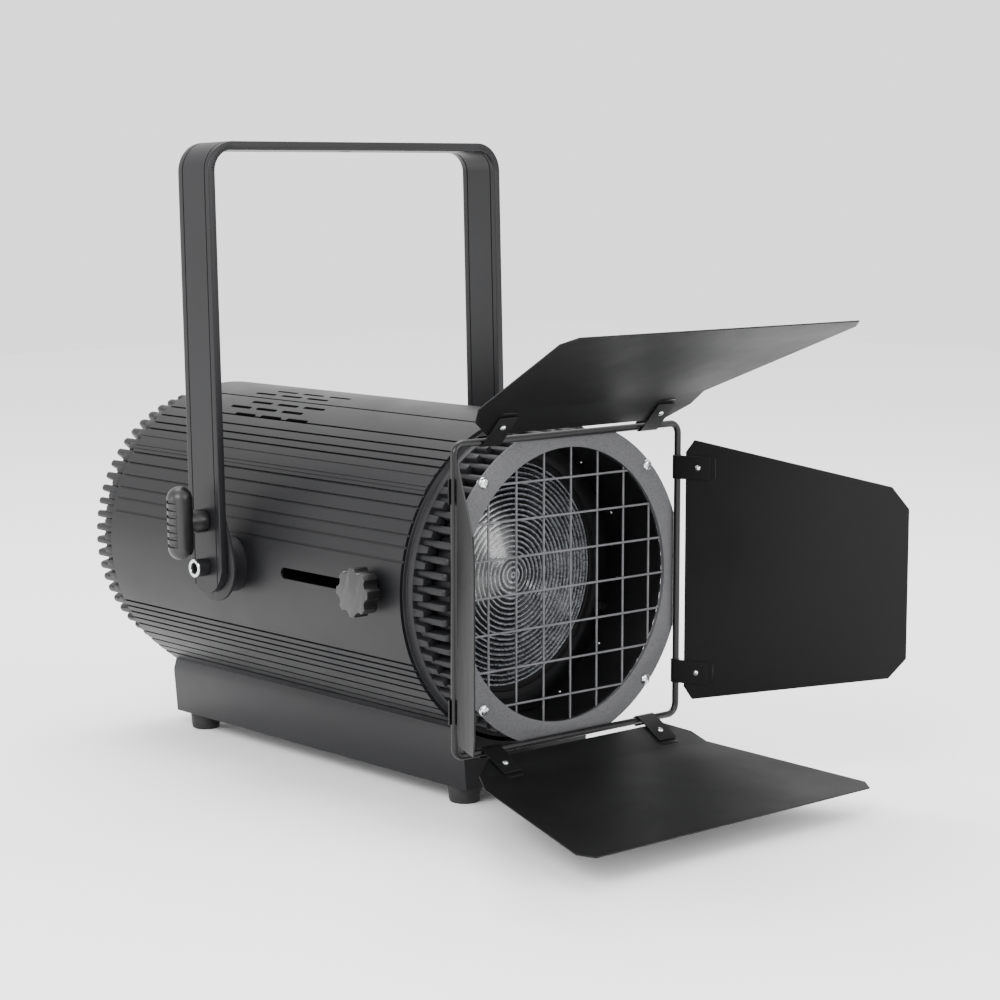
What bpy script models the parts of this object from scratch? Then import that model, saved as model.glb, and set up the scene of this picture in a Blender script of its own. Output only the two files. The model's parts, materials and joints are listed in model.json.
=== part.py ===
# LED Fresnel spotlight with a ribbed barrel, yoke, footed base and four-leaf barn doors.
# Metres, +Z up. The lens looks along -Y. The origin is the centre of the base's underside,
# and everything hangs from an empty at the centre of the barn-door frame, on the optical axis.
import bmesh
import bpy
from math import asin, cos, pi, radians, sin, sqrt
from mathutils import Matrix, Vector

GAP = 0.0003              # between touching pieces
AXIS_HEIGHT = 0.1705      # optical axis above the base's underside

# barrel
SHELL_R = 0.137
SHELL_WALL = 0.003
SHELL_FRONT = 0.052       # depth behind the barn-door frame, as for every other depth
SHELL_LENGTH = 0.416
BAND_R = 0.131            # smooth band of the end castings
BAND_LENGTH = 0.013
FIN_R = 0.1275
FIN_ROOT_R = 0.119
BAND_BORE_R = 0.115
FIN_BORE_R = 0.116
FIN_LENGTH = 0.030
FIN_COUNT = 64
SPIGOT_LENGTH = 0.013

# bezel, barn-door frame and grille
DOOR_SIDE = 0.250         # between the centre lines of the wires
WIRE_R = 0.003
WIRE_BEND_R = 0.008
BEZEL_R = 0.133
BEZEL_HOLE_R = 0.113
BEZEL_THICK = 0.002
BEZEL_SCREW = 0.0912      # from the axis, both ways
SCREW_R = 0.002
SCREW_HEAD_R = 0.0048
GRILLE_BAR = 0.0024
GRILLE_PITCH = 0.030
GRILLE_OFFSET = 0.0075    # of the upright bars, sideways
GRILLE_RIM_R = 0.1105

# lens and its carriage, which the focusing knob slides
LENS_R = 0.100
LENS_RIM = 0.0055
LENS_DOME = 0.010
TUNNEL_WALL = 0.002
TUNNEL_LENGTH = 0.059
FLANGE_THICK = 0.003
CARRIAGE_R = 0.130
CARRIAGE_RIM_R = 0.106
CARRIAGE_BORE_R = 0.094
CARRIAGE_THICK = 0.010
CARRIAGE_DEPTH = 0.084
SEAT_LENGTH = 0.0085
RAIL_R = 0.004
RAIL_X = 0.115
RAIL_DROP = 0.042
STUD_R = 0.0035
SLOT_HEIGHT = 0.0095
SLOT_BACK = 0.209
TRAVEL_FORWARD = 0.003    # of the focusing knob from its place at rest

# light engine, fixed behind the carriage
ENGINE_DEPTH = 0.222
ENGINE_PLATE = 0.003
LED_BOARD = 0.070
SINK_R = 0.075
SINK_CORE_R = 0.036
SINK_LENGTH = 0.080
SINK_FINS = 16
FAN_SIDE = 0.120
FAN_THICK = 0.025
DRIVER_WIDE = 0.140
DRIVER_HIGH = 0.060
DRIVER_LENGTH = 0.095
KNOB_R = 0.020
KNOB_THICK = 0.016
KNOB_LOBES = 8

# yoke
PIVOT_DEPTH = 0.2805
PIVOT_DROP = 0.001
YOKE_HALF = 0.1635        # outer face of an arm
YOKE_THICK = 0.0075
YOKE_WIDE = 0.045
YOKE_RISE = 0.3605        # top face above the pivot
YOKE_BEND_R = 0.0255
YOKE_LEAN = radians(1.7)
CLAMP_HOLE_R = 0.0065
BOLT_R = 0.005
BOLT_HEAD_R = 0.00775
BOLT_HEAD = 0.012
PLATE_THICK = 0.003
PLATE_R = 0.0305
PLATE_TOP_R = 0.017
BOSS_R = 0.024
HANDLE_RISE = 0.040       # above the pivot
HANDLE_REACH = 0.0245     # from the arm to the middle of the grip
HANDLE_LENGTH = 0.063
HANDLE_R = 0.011
HANDLE_STEM_R = 0.010

# barn-door leaves
SHEET = 0.0012
LEAF_CLIP = 0.175         # between the clips of one leaf
CLIP_WIDE = 0.020
CLIP_LENGTH = 0.030
BIG_START = 0.010
BIG_BEND = 0.041
BIG_LENGTH = 0.1965
BIG_BEND_ANGLE = radians(24)
SMALL_START = 0.008
SMALL_LENGTH = 0.1997
TOP_OPEN = radians(48)
BOTTOM_OPEN = radians(30)
RIGHT_OPEN = radians(25.3)
LEFT_OPEN = radians(37.3)

# base and feet
BASE_HALF = 0.067
BASE_FLARE = 0.0035
BASE_WALL = 0.003
LIP_Z = -0.112
FOOT_R = 0.014
FOOT_TOE_R = 0.012
FOOT_HEIGHT = 0.0155
FOOT_INSET = 0.017
FOOT_FROM_END = 0.022

# rear panel
PANEL_THICK = 0.003
BUTTON_R = 0.0045
BUTTON_PITCH = 0.016
BUTTON_PROUD = 0.003

SHELL_BACK = SHELL_FRONT + SHELL_LENGTH
BEZEL_FRONT = WIRE_R + GAP
GRILLE_FRONT = BEZEL_FRONT + BEZEL_THICK + GAP
CASTING_FRONT = SHELL_FRONT - BAND_LENGTH - FIN_LENGTH
TUNNEL_FRONT = CASTING_FRONT
STUD_DEPTH = CARRIAGE_DEPTH + CARRIAGE_THICK / 2
SLOT_FRONT = STUD_DEPTH - TRAVEL_FORWARD - SLOT_HEIGHT / 2
SINK_DEPTH = ENGINE_DEPTH + ENGINE_PLATE + GAP
FAN_DEPTH = SINK_DEPTH + SINK_LENGTH + GAP
DRIVER_DEPTH = FAN_DEPTH + FAN_THICK + 0.006
BASE_LENGTH = SHELL_LENGTH

UPRIGHT = (radians(90), 0, 0)             # an outline drawn in XZ, thick along Y
ALONG_X = (radians(90), 0, radians(90))   # an outline drawn in YZ, thick along X
FLAT = (0, 0, 0)
AXIS_TURN = {"X": (0, radians(90), 0), "Y": (radians(-90), 0, 0), "Z": (0, 0, 0)}


def clear_scene():
    for obj in list(bpy.data.objects):
        bpy.data.objects.remove(obj, do_unlink=True)


def collection(name):
    made = bpy.data.collections.new(name)
    bpy.context.scene.collection.children.link(made)
    return made


clear_scene()
PARTS = collection("fresnel_spotlight")
CUTTERS = collection("cutters")
CUTTERS.hide_render = True


def material(name, colour, roughness, metallic=0.0):
    made = bpy.data.materials.new(name)
    made.use_nodes = True
    shader = made.node_tree.nodes["Principled BSDF"]
    shader.inputs["Base Color"].default_value = (*colour, 1)
    shader.inputs["Roughness"].default_value = roughness
    shader.inputs["Metallic"].default_value = metallic
    return made


SATIN_BLACK = material("satin_black_extrusion", (0.022, 0.022, 0.025), 0.42, 0.3)
CAST_BLACK = material("cast_black_enamel", (0.035, 0.035, 0.037), 0.5, 0.3)
POWDER_GREY = material("powder_coated_grey", (0.13, 0.13, 0.135), 0.6, 0.1)
SHEET_BLACK = material("matt_black_sheet", (0.012, 0.012, 0.014), 0.5, 0.1)
WIRE_BLACK = material("enamelled_wire", (0.03, 0.03, 0.032), 0.35, 0.5)
BRIGHT = material("bright_zinc", (0.62, 0.62, 0.6), 0.25, 1.0)
STEEL = material("ground_steel", (0.45, 0.46, 0.48), 0.3, 1.0)
RUBBER = material("moulded_rubber", (0.015, 0.015, 0.016), 0.7)
PLASTIC = material("moulded_nylon", (0.02, 0.02, 0.022), 0.45)
GLASS = material("fresnel_glass", (0.5, 0.52, 0.55), 0.15)
ALUMINIUM = material("plain_aluminium", (0.55, 0.56, 0.58), 0.4, 1.0)
PHOSPHOR = material("led_phosphor", (0.75, 0.62, 0.12), 0.5)
WINDOW = material("display_window", (0.01, 0.02, 0.03), 0.1)


def empty(name, parent, location=(0, 0, 0), matrix=None):
    made = bpy.data.objects.new(name, None)
    made.empty_display_size = 0.02
    PARTS.objects.link(made)
    made.parent = parent
    made.location = location
    if matrix:
        made.matrix_basis = matrix
    return made


def place(name, data, parent, location, rotation, finish):
    made = bpy.data.objects.new(name, data)
    PARTS.objects.link(made)
    made.parent = parent
    made.location = location
    made.rotation_euler = rotation
    if finish:
        data.materials.append(finish)
    return made


def smooth(data, angle=40):
    data.shade_smooth()
    data.set_sharp_from_angle(angle=radians(angle))


def box(name, size, centre, parent, finish=None, rotation=FLAT):
    mesh = bpy.data.meshes.new(name)
    shape = bmesh.new()
    bmesh.ops.create_cube(shape, size=1, matrix=Matrix.Diagonal((*size, 1)))
    shape.to_mesh(mesh)
    shape.free()
    return place(name, mesh, parent, centre, rotation, finish)


def rod(name, radius, length, centre, axis, parent, finish=None, sides=24, end_radius=None):
    # Runs along its axis from the narrow or equal end to end_radius.
    mesh = bpy.data.meshes.new(name)
    shape = bmesh.new()
    far = radius if end_radius is None else end_radius
    bmesh.ops.create_cone(
        shape, cap_ends=True, segments=sides, radius1=radius, radius2=far, depth=length
    )
    shape.to_mesh(mesh)
    shape.free()
    smooth(mesh)
    return place(name, mesh, parent, centre, AXIS_TURN[axis], finish)


def turned(name, profile, parent, location=(0, 0, 0), finish=None, steps=72, axis="Y"):
    # Profile points are (radius, distance along the axis), down the outer side.
    mesh = bpy.data.meshes.new(name)
    points = [(radius, 0, along) for radius, along in profile]
    edges = [(i, i + 1) for i in range(len(points) - 1)]
    if profile[0][0] > 0:
        edges.append((len(points) - 1, 0))
    mesh.from_pydata(points, edges, [])
    made = place(name, mesh, parent, location, AXIS_TURN[axis], finish)
    screw = made.modifiers.new("turn", "SCREW")
    screw.steps = screw.render_steps = steps
    screw.use_merge_vertices = True
    screw.merge_threshold = 0.00001
    screw.use_smooth_shade = False
    return made


def ring(name, inner, outer, front, back, parent, finish=None, steps=72):
    profile = [(outer, back), (outer, front), (inner, front), (inner, back)]
    return turned(name, profile, parent, finish=finish, steps=steps)


def arc(centre, radius, start, end, count):
    # Points on an arc; angles in degrees from the first axis towards the second.
    step = radians(end - start) / count
    angles = [radians(start) + step * i for i in range(count + 1)]
    return [(centre[0] + radius * cos(a), centre[1] + radius * sin(a)) for a in angles]


def circle(radius, count, centre=(0, 0)):
    return arc(centre, radius, 0, 360, count)[:-1]


def outline(name, loops, thickness, parent, location, rotation, finish=None):
    # A flat outline, with any further loops as its holes, made a mesh so that it can be cut.
    curve = bpy.data.curves.new(name, "CURVE")
    curve.dimensions = "2D"
    curve.fill_mode = "BOTH"
    curve.extrude = thickness / 2
    for loop in loops:
        spline = curve.splines.new("POLY")
        spline.points.add(len(loop) - 1)
        spline.use_cyclic_u = True
        for point, (across, up) in zip(spline.points, loop):
            point.co = (across, up, 0, 1)
    return as_mesh(place(name, curve, parent, location, rotation, finish))


def as_mesh(made):
    bpy.context.view_layer.update()
    seen = made.evaluated_get(bpy.context.evaluated_depsgraph_get())
    mesh = bpy.data.meshes.new_from_object(seen)
    shape = bmesh.new()
    shape.from_mesh(mesh)
    bmesh.ops.remove_doubles(shape, verts=shape.verts, dist=0.000001)
    shape.to_mesh(mesh)
    shape.free()
    name, parent, basis = made.name, made.parent, made.matrix_basis.copy()
    bpy.data.objects.remove(made)
    solid = bpy.data.objects.new(name, mesh)
    PARTS.objects.link(solid)
    solid.parent = parent
    solid.matrix_basis = basis
    return solid


def wire(name, points, radius, parent, finish, closed=False, location=(0, 0, 0), round_steps=1):
    curve = bpy.data.curves.new(name, "CURVE")
    curve.dimensions = "3D"
    curve.bevel_depth = radius
    curve.bevel_resolution = round_steps
    curve.use_fill_caps = not closed
    spline = curve.splines.new("POLY")
    spline.points.add(len(points) - 1)
    spline.use_cyclic_u = closed
    for point, place_at in zip(spline.points, points):
        point.co = (*place_at, 1)
    return place(name, curve, parent, location, FLAT, finish)


def boolean(target, tool, operation="DIFFERENCE"):
    modifier = target.modifiers.new(tool.name, "BOOLEAN")
    modifier.operation = operation
    modifier.object = tool
    for holder in list(tool.users_collection):
        holder.objects.unlink(tool)
    CUTTERS.objects.link(tool)
    tool.hide_render = True
    tool.display_type = "WIRE"
    return target


def join_boxes(name, centres, size, parent):
    # Several equal boxes as one cutter mesh.
    mesh = bpy.data.meshes.new(name)
    shape = bmesh.new()
    for spot in centres:
        matrix = Matrix.Translation(spot) @ Matrix.Diagonal((*size, 1))
        bmesh.ops.create_cube(shape, size=1, matrix=matrix)
    shape.to_mesh(mesh)
    shape.free()
    return place(name, mesh, parent, (0, 0, 0), FLAT, None)


# --- barrel -------------------------------------------------------------------------------


def make_shell(lamp):
    shell = ring(
        "shell", SHELL_R - SHELL_WALL, SHELL_R, SHELL_FRONT, SHELL_BACK, lamp, SATIN_BLACK, 96
    )
    end_r = SLOT_HEIGHT / 2
    slot = arc((SLOT_FRONT + end_r, 0), end_r, 90, 270, 8)
    slot += arc((SLOT_BACK - end_r, 0), end_r, -90, 90, 8)
    wall = 4 * SHELL_WALL
    cutter = outline("slot_cutter", [slot], wall, lamp, (-SHELL_R, 0, 0), ALONG_X)
    boolean(shell, cutter)
    for side in (-1, 1):
        spot = (side * SHELL_R, PIVOT_DEPTH, -PIVOT_DROP)
        boolean(shell, rod(f"pivot_hole_{side}", BOLT_R + GAP, wall, spot, "X", lamp))
        boolean(shell, vent_cutter(lamp, side))


def vent_cutter(lamp, side):
    # Five staggered rows of three cooling slots high on each flank.
    length, height, pitch, first = 0.028, 0.0036, 0.038, 0.275
    mesh = bpy.data.meshes.new("vents")
    shape = bmesh.new()
    for row, tilt in enumerate((60, 64.5, 69, 77, 81.5)):
        for column in range(3):
            along = first + pitch * column + (row % 2) * pitch / 2
            turn = Matrix.Rotation(side * radians(90 - tilt), 4, "Y")
            spot = turn @ Vector((0, along, SHELL_R - SHELL_WALL / 2))
            size = Matrix.Diagonal((height, length, 3 * SHELL_WALL, 1))
            bmesh.ops.create_cube(shape, size=1, matrix=Matrix.Translation(spot) @ turn @ size)
    shape.to_mesh(mesh)
    shape.free()
    return place(f"vents_{side}", mesh, lamp, (0, 0, 0), FLAT, None)


def fin_outline():
    # Square teeth, a fin and a gap of equal width, then the bore.
    quarter = 360 / FIN_COUNT / 4
    points = []
    for tooth in range(FIN_COUNT):
        start = tooth * 4 * quarter
        for radius, turn in ((FIN_ROOT_R, -1), (FIN_R, -1), (FIN_R, 1), (FIN_ROOT_R, 1)):
            angle = radians(start + turn * quarter)
            points.append((radius * cos(angle), radius * sin(angle)))
    return [points, circle(FIN_BORE_R, FIN_COUNT)]


def make_casting(name, lamp, joint_depth, outward, with_bosses):
    # joint_depth is where it meets the shell; outward is -1 at the front and 1 at the back.
    band_end = joint_depth + outward * BAND_LENGTH
    fins_end = band_end + outward * FIN_LENGTH
    step = joint_depth - outward * 2 * GAP
    spigot = joint_depth - outward * SPIGOT_LENGTH
    spigot_r = SHELL_R - SHELL_WALL - GAP
    profile = [(spigot_r, spigot), (spigot_r, step), (BAND_R, step), (BAND_R, band_end)]
    profile += [(BAND_BORE_R, band_end), (BAND_BORE_R, spigot)]
    if outward > 0:
        profile.reverse()
    casting = turned(name, profile, lamp, finish=CAST_BLACK, steps=FIN_COUNT)
    middle = (band_end - outward * 0.002 + fins_end) / 2
    length = FIN_LENGTH + 0.002
    fins = outline(f"{name}_fins", fin_outline(), length, lamp, (0, middle, 0), UPRIGHT)
    boolean(casting, fins, "UNION")
    if with_bosses:
        front = GRILLE_FRONT
        length = band_end + 0.004 - front
        for number, (x, z) in enumerate(screw_places()):
            spot = (x, front + length / 2, z)
            boss = rod(f"{name}_boss_{number}", SCREW_HEAD_R, length, spot, "Y", lamp, sides=12)
            boolean(casting, boss, "UNION")
        for number, (x, z) in enumerate(screw_places()):
            spot = (x, front + 0.006, z)
            hole = rod(f"{name}_hole_{number}", SCREW_R + GAP, 0.016, spot, "Y", lamp, sides=10)
            boolean(casting, hole)
    return casting


def screw_places():
    return [(-BEZEL_SCREW, BEZEL_SCREW), (BEZEL_SCREW, BEZEL_SCREW),
            (BEZEL_SCREW, -BEZEL_SCREW), (-BEZEL_SCREW, -BEZEL_SCREW)]


# --- bezel, door frame and grille ----------------------------------------------------------


def make_bezel(lamp):
    flat = DOOR_SIDE / 2 - 0.001
    corner = asin(flat / BEZEL_R) * 180 / pi
    points = []
    for quarter in range(4):
        points += arc((0, 0), BEZEL_R, 90 * quarter + 90 - corner, 90 * quarter + corner, 10)
    loops = [points, circle(BEZEL_HOLE_R, 48)]
    loops += [circle(SCREW_R + GAP, 10, spot) for spot in screw_places()]
    middle = (0, BEZEL_FRONT + BEZEL_THICK / 2, 0)
    outline("bezel_plate", loops, BEZEL_THICK, lamp, middle, UPRIGHT, POWDER_GREY)
    for number, (x, z) in enumerate(screw_places(), 1):
        face = BEZEL_FRONT - GAP
        profile = [(0, 0.012), (SCREW_R, 0.012), (SCREW_R, 0), (SCREW_HEAD_R, 0)]
        profile += [(SCREW_HEAD_R * 0.8, -0.0018), (0, -0.0024)]
        turned(f"bezel_screw_{number}", profile, lamp, (x, face, z), BRIGHT, 12)


def make_door_frame(lamp):
    half = DOOR_SIDE / 2
    middle = half - WIRE_BEND_R
    points = []
    for quarter, (x, z) in enumerate(((1, 1), (-1, 1), (-1, -1), (1, -1))):
        centre = (x * middle, z * middle)
        turn = arc(centre, WIRE_BEND_R, 90 * quarter, 90 * quarter + 90, 5)
        points += [(across, 0, up) for across, up in turn]
    wire("door_frame", points, WIRE_R, lamp, WIRE_BLACK, closed=True)


def make_grille(lamp):
    plate_r = FIN_BORE_R + 0.002
    middle = GRILLE_FRONT + GRILLE_BAR / 2
    grille = rod("grille", plate_r, GRILLE_BAR, (0, middle, 0), "Y", lamp, WIRE_BLACK, 48)
    hole = GRILLE_PITCH - GRILLE_BAR
    spots = []
    for column in range(-5, 5):
        for row in range(-4, 4):
            x = GRILLE_OFFSET + (column + 0.5) * GRILLE_PITCH
            z = -0.002 + (row + 0.5) * GRILLE_PITCH
            if abs(x) < plate_r + hole / 2 and abs(z) < plate_r + hole / 2:
                spots.append((x, middle, z))
    squares = join_boxes("mesh_squares", spots, (hole, 4 * GRILLE_BAR, hole), lamp)
    rim = rod("mesh_rim", GRILLE_RIM_R, 3 * GRILLE_BAR, (0, middle, 0), "Y", lamp, sides=48)
    boolean(squares, rim, "INTERSECT")
    boolean(grille, squares)


# --- lens and its carriage -----------------------------------------------------------------


def make_tunnel(lamp):
    outer = BAND_BORE_R - GAP
    inner = outer - TUNNEL_WALL
    back = TUNNEL_FRONT + TUNNEL_LENGTH
    front = back - FLANGE_THICK
    flange_r = SHELL_R - SHELL_WALL - GAP
    profile = [(flange_r, back), (flange_r, front), (outer, front), (outer, TUNNEL_FRONT + GAP)]
    profile += [(inner, TUNNEL_FRONT + GAP), (inner, back)]
    turned("lens_tunnel", profile, lamp, finish=CAST_BLACK, steps=48)
    start = back + GAP
    end = ENGINE_DEPTH - GAP
    for side, name in ((-1, "guide_rail_left"), (1, "guide_rail_right")):
        spot = (side * RAIL_X, (start + end) / 2, -RAIL_DROP)
        rod(name, RAIL_R, end - start, spot, "Y", lamp, STEEL, 16)


def make_carriage(lamp):
    focus = empty("focus_slide", lamp, (0, STUD_DEPTH, 0))
    back = CARRIAGE_THICK / 2
    rim = -back - SEAT_LENGTH - GAP
    seat = rim + SEAT_LENGTH
    seat_r = LENS_R + GAP
    profile = [(CARRIAGE_R, back), (CARRIAGE_R, -back), (CARRIAGE_RIM_R, -back)]
    profile += [(CARRIAGE_RIM_R, rim), (seat_r, rim), (seat_r, seat), (CARRIAGE_BORE_R, seat)]
    profile += [(CARRIAGE_BORE_R, back)]
    carriage = turned("lens_carriage", profile, focus, finish=CAST_BLACK, steps=48)
    for side in (-1, 1):
        spot = (side * RAIL_X, 0, -RAIL_DROP)
        boolean(carriage, rod(f"rail_hole_{side}", RAIL_R + GAP, 0.03, spot, "Y", focus, sides=16))
    socket_end = 0.015 - CARRIAGE_R
    spot = (socket_end - 0.015, 0, 0)
    boolean(carriage, rod("stud_socket", STUD_R + GAP, 0.030, spot, "X", focus, sides=16))
    lens_back = seat - GAP
    lens_front = lens_back - LENS_RIM
    bulge = [(0, lens_back), (LENS_R, lens_back), (LENS_R, lens_front)]
    inner_r = LENS_R - 0.006
    sphere_r = (inner_r ** 2 + LENS_DOME ** 2) / (2 * LENS_DOME)
    for step in range(7):
        radius = inner_r * (1 - step / 6)
        sag = sphere_r - sqrt(sphere_r ** 2 - radius ** 2)
        bulge.append((radius, lens_front - LENS_DOME + sag))
    turned("fresnel_lens", bulge, focus, finish=GLASS, steps=48)
    ring(
        "lens_retainer", LENS_R - 0.005, LENS_R, rim, lens_front - GAP, focus, CAST_BLACK, 48
    )
    make_focus_knob(focus, socket_end)


# --- light engine --------------------------------------------------------------------------


def star(outer, root, count, share=0.5):
    # An outline of square fins; share is the fin's part of each pitch.
    pitch = 360 / count
    points = []
    for fin in range(count):
        for radius, turn in ((root, -share), (outer, -share / 2), (outer, share / 2), (root, share)):
            angle = radians(pitch * (fin + turn / 2))
            points.append((radius * cos(angle), radius * sin(angle)))
    return points


def make_engine(lamp):
    plate_r = SHELL_R - SHELL_WALL - 0.0004
    middle = (0, ENGINE_DEPTH + ENGINE_PLATE / 2, 0)
    rod("engine_plate", plate_r, ENGINE_PLATE, middle, "Y", lamp, ALUMINIUM, 48)
    front = ENGINE_DEPTH - GAP
    size = (LED_BOARD, 0.003, LED_BOARD)
    board = box("led_module", size, (0, front - 0.0015, 0), lamp, PHOSPHOR)
    boolean(board, rod("led_die", 0.019, 0.003, (0, front - 0.0035, 0), "Y", lamp, sides=24), "UNION")
    base = 0.006
    middle = (0, SINK_DEPTH + base / 2, 0)
    sink = rod("heat_sink", SINK_R, base, middle, "Y", lamp, ALUMINIUM, 32)
    length = SINK_LENGTH - base + 0.001
    fins = outline(
        "sink_fins", [star(SINK_R - 0.001, SINK_CORE_R, SINK_FINS)], length, lamp,
        (0, SINK_DEPTH + SINK_LENGTH - length / 2, 0), UPRIGHT,
    )
    boolean(sink, fins, "UNION")
    make_fan(lamp, FAN_DEPTH)
    floor = sqrt((SHELL_R - SHELL_WALL - 0.0004) ** 2 - (DRIVER_WIDE / 2) ** 2)
    middle = (0, DRIVER_DEPTH + DRIVER_LENGTH / 2, DRIVER_HIGH / 2 - floor)
    box("driver_box", (DRIVER_WIDE, DRIVER_LENGTH, DRIVER_HIGH), middle, lamp, ALUMINIUM)


def make_fan(lamp, front):
    middle = (0, front + FAN_THICK / 2, 0)
    frame = box("fan_frame", (FAN_SIDE, FAN_THICK, FAN_SIDE), middle, lamp, PLASTIC)
    bore_r = FAN_SIDE / 2 - 0.003
    inlet = (0, front + FAN_THICK / 2, 0)
    boolean(frame, rod("fan_bore", bore_r, 2 * FAN_THICK, inlet, "Y", lamp, sides=32))
    spot = (0, front + 0.0015, 0)
    for number, size in enumerate(((0.004, 0.003, FAN_SIDE - 0.002), (FAN_SIDE - 0.002, 0.003, 0.004))):
        boolean(frame, box(f"fan_spoke_{number}", size, spot, lamp), "UNION")
    boolean(frame, rod("fan_hub", 0.019, 0.003, spot, "Y", lamp, sides=20), "UNION")
    axle = empty("fan_axle", lamp, (0, front + 0.003 + GAP, 0))
    rotor = rod("fan_rotor", 0.020, 0.019, (0, 0.0095, 0), "Y", axle, PLASTIC, 24)
    for blade in range(7):
        turn = Matrix.Rotation(2 * pi * blade / 7, 4, "Y")
        tilt = Matrix.Rotation(radians(38), 4, "X")
        shape = box(f"blade_{blade}", (0.036, 0.0015, 0.021), (0, 0, 0), axle)
        shape.matrix_basis = turn @ Matrix.Translation((0.036, 0.0095, 0)) @ tilt
        boolean(rotor, shape, "UNION")


def make_focus_knob(focus, socket_end):
    knob_in = -SHELL_R - 0.004
    knob_out = knob_in - KNOB_THICK
    stud_end = knob_out + 0.006
    length = socket_end - GAP - stud_end
    rod("focus_stud", STUD_R, length, (socket_end - GAP - length / 2, 0, 0), "X", focus, STEEL, 16)
    axle = empty("knob_axle", focus, (knob_in, 0, 0))
    lobed = []
    for step in range(KNOB_LOBES * 6):
        angle = 2 * pi * step / (KNOB_LOBES * 6)
        radius = KNOB_R - 0.0022 + 0.0022 * cos(KNOB_LOBES * angle)
        lobed.append((radius * cos(angle), radius * sin(angle)))
    middle = (-KNOB_THICK / 2, 0, 0)
    knob = outline("focus_knob", [lobed], KNOB_THICK, axle, middle, ALONG_X, PLASTIC)
    collar = rod("knob_collar", 0.010, 0.006, (-0.001 + 0.001, 0, 0), "X", axle, sides=20)
    boolean(knob, collar, "UNION")
    bore = rod("knob_bore", STUD_R + GAP, 0.030, (0.0045 - KNOB_THICK + 0.015 + 0.001, 0, 0), "X",
               axle, sides=16)
    boolean(knob, bore)


# --- yoke ----------------------------------------------------------------------------------


def make_pivots(lamp):
    face = YOKE_HALF - YOKE_THICK - 2 * GAP - PLATE_THICK
    for side, name in ((-1, "left"), (1, "right")):
        inner = SHELL_R - 0.014
        spot = (side * (face - GAP + inner) / 2, PIVOT_DEPTH, -PIVOT_DROP)
        boss = rod(f"pivot_boss_{name}", BOSS_R, face - GAP - inner, spot, "X", lamp, CAST_BLACK, 32)
        barrel = rod(f"barrel_clear_{name}", SHELL_R + GAP, 0.08, (0, PIVOT_DEPTH, 0), "Y", lamp,
                     sides=96)
        boolean(boss, barrel)
        boolean(boss, rod(f"boss_bore_{name}", BOLT_R + GAP, 0.1,
                          (side * face, PIVOT_DEPTH, -PIVOT_DROP), "X", lamp))
        end = YOKE_HALF + GAP
        tip = SHELL_R - 0.010
        profile = [(0, end + BOLT_HEAD), (BOLT_HEAD_R, end + BOLT_HEAD), (BOLT_HEAD_R, end)]
        profile += [(BOLT_R, end), (BOLT_R, tip), (0, tip)]
        bolt = turned(f"pivot_bolt_{name}", profile, lamp, (0, PIVOT_DEPTH, -PIVOT_DROP), BRIGHT,
                      24, "X")
        if side < 0:
            bolt.rotation_euler = (0, radians(-90), 0)
        socket = rod(f"bolt_socket_{name}", 0.004, 0.012,
                     (side * (end + BOLT_HEAD), PIVOT_DEPTH, -PIVOT_DROP), "X", lamp, sides=6)
        boolean(bolt, socket)


def make_yoke(lamp):
    lean = Matrix.Translation((0, PIVOT_DEPTH, -PIVOT_DROP)) @ Matrix.Rotation(-YOKE_LEAN, 4, "X")
    pivot = empty("yoke_pivot", lamp, matrix=lean)
    corner = YOKE_HALF - YOKE_BEND_R
    top = YOKE_RISE - YOKE_BEND_R
    low = -YOKE_WIDE
    inner_r = YOKE_BEND_R - YOKE_THICK
    points = [(YOKE_HALF, low)] + arc((corner, top), YOKE_BEND_R, 0, 90, 8)
    points += arc((-corner, top), YOKE_BEND_R, 90, 180, 8) + [(-YOKE_HALF, low)]
    points += [(-YOKE_HALF + YOKE_THICK, low)]
    points += arc((-corner, top), inner_r, 180, 90, 8) + arc((corner, top), inner_r, 90, 0, 8)
    points += [(YOKE_HALF - YOKE_THICK, low)]
    yoke = outline("yoke", [points], YOKE_WIDE, pivot, (0, 0, 0), UPRIGHT, SATIN_BLACK)
    half = YOKE_WIDE / 2
    side_view = arc((0, 0), half, 180, 360, 16) + [(half, YOKE_RISE + 0.01), (-half, YOKE_RISE + 0.01)]
    ends = outline("arm_ends", [side_view], 3 * YOKE_HALF, pivot, (0, 0, 0), ALONG_X)
    boolean(yoke, ends, "INTERSECT")
    boolean(yoke, rod("pivot_line", BOLT_R + GAP, 3 * YOKE_HALF, (0, 0, 0), "X", pivot))
    stem_hole = (-YOKE_HALF, 0, HANDLE_RISE)
    boolean(yoke, rod("handle_hole", 0.0043, 0.03, stem_hole, "X", pivot, sides=16))
    boolean(yoke, rod("clamp_hole", CLAMP_HOLE_R, 0.03, (0, 0, YOKE_RISE), "Z", pivot))
    for side, name in ((-1, "left"), (1, "right")):
        middle = (side * (YOKE_HALF - YOKE_THICK - GAP - PLATE_THICK / 2), 0, 0)
        tilt = asin((PLATE_R - PLATE_TOP_R) / HANDLE_RISE) * 180 / pi
        shape = arc((0, HANDLE_RISE), PLATE_TOP_R, tilt, 180 - tilt, 10)
        shape += arc((0, 0), PLATE_R, 180 - tilt, 360 + tilt, 22)
        loops = [shape, circle(BOLT_R + GAP, 24)]
        outline(f"clamp_plate_{name}", loops, PLATE_THICK, pivot, middle, ALONG_X, CAST_BLACK)
    make_tilt_handle(pivot)


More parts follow.
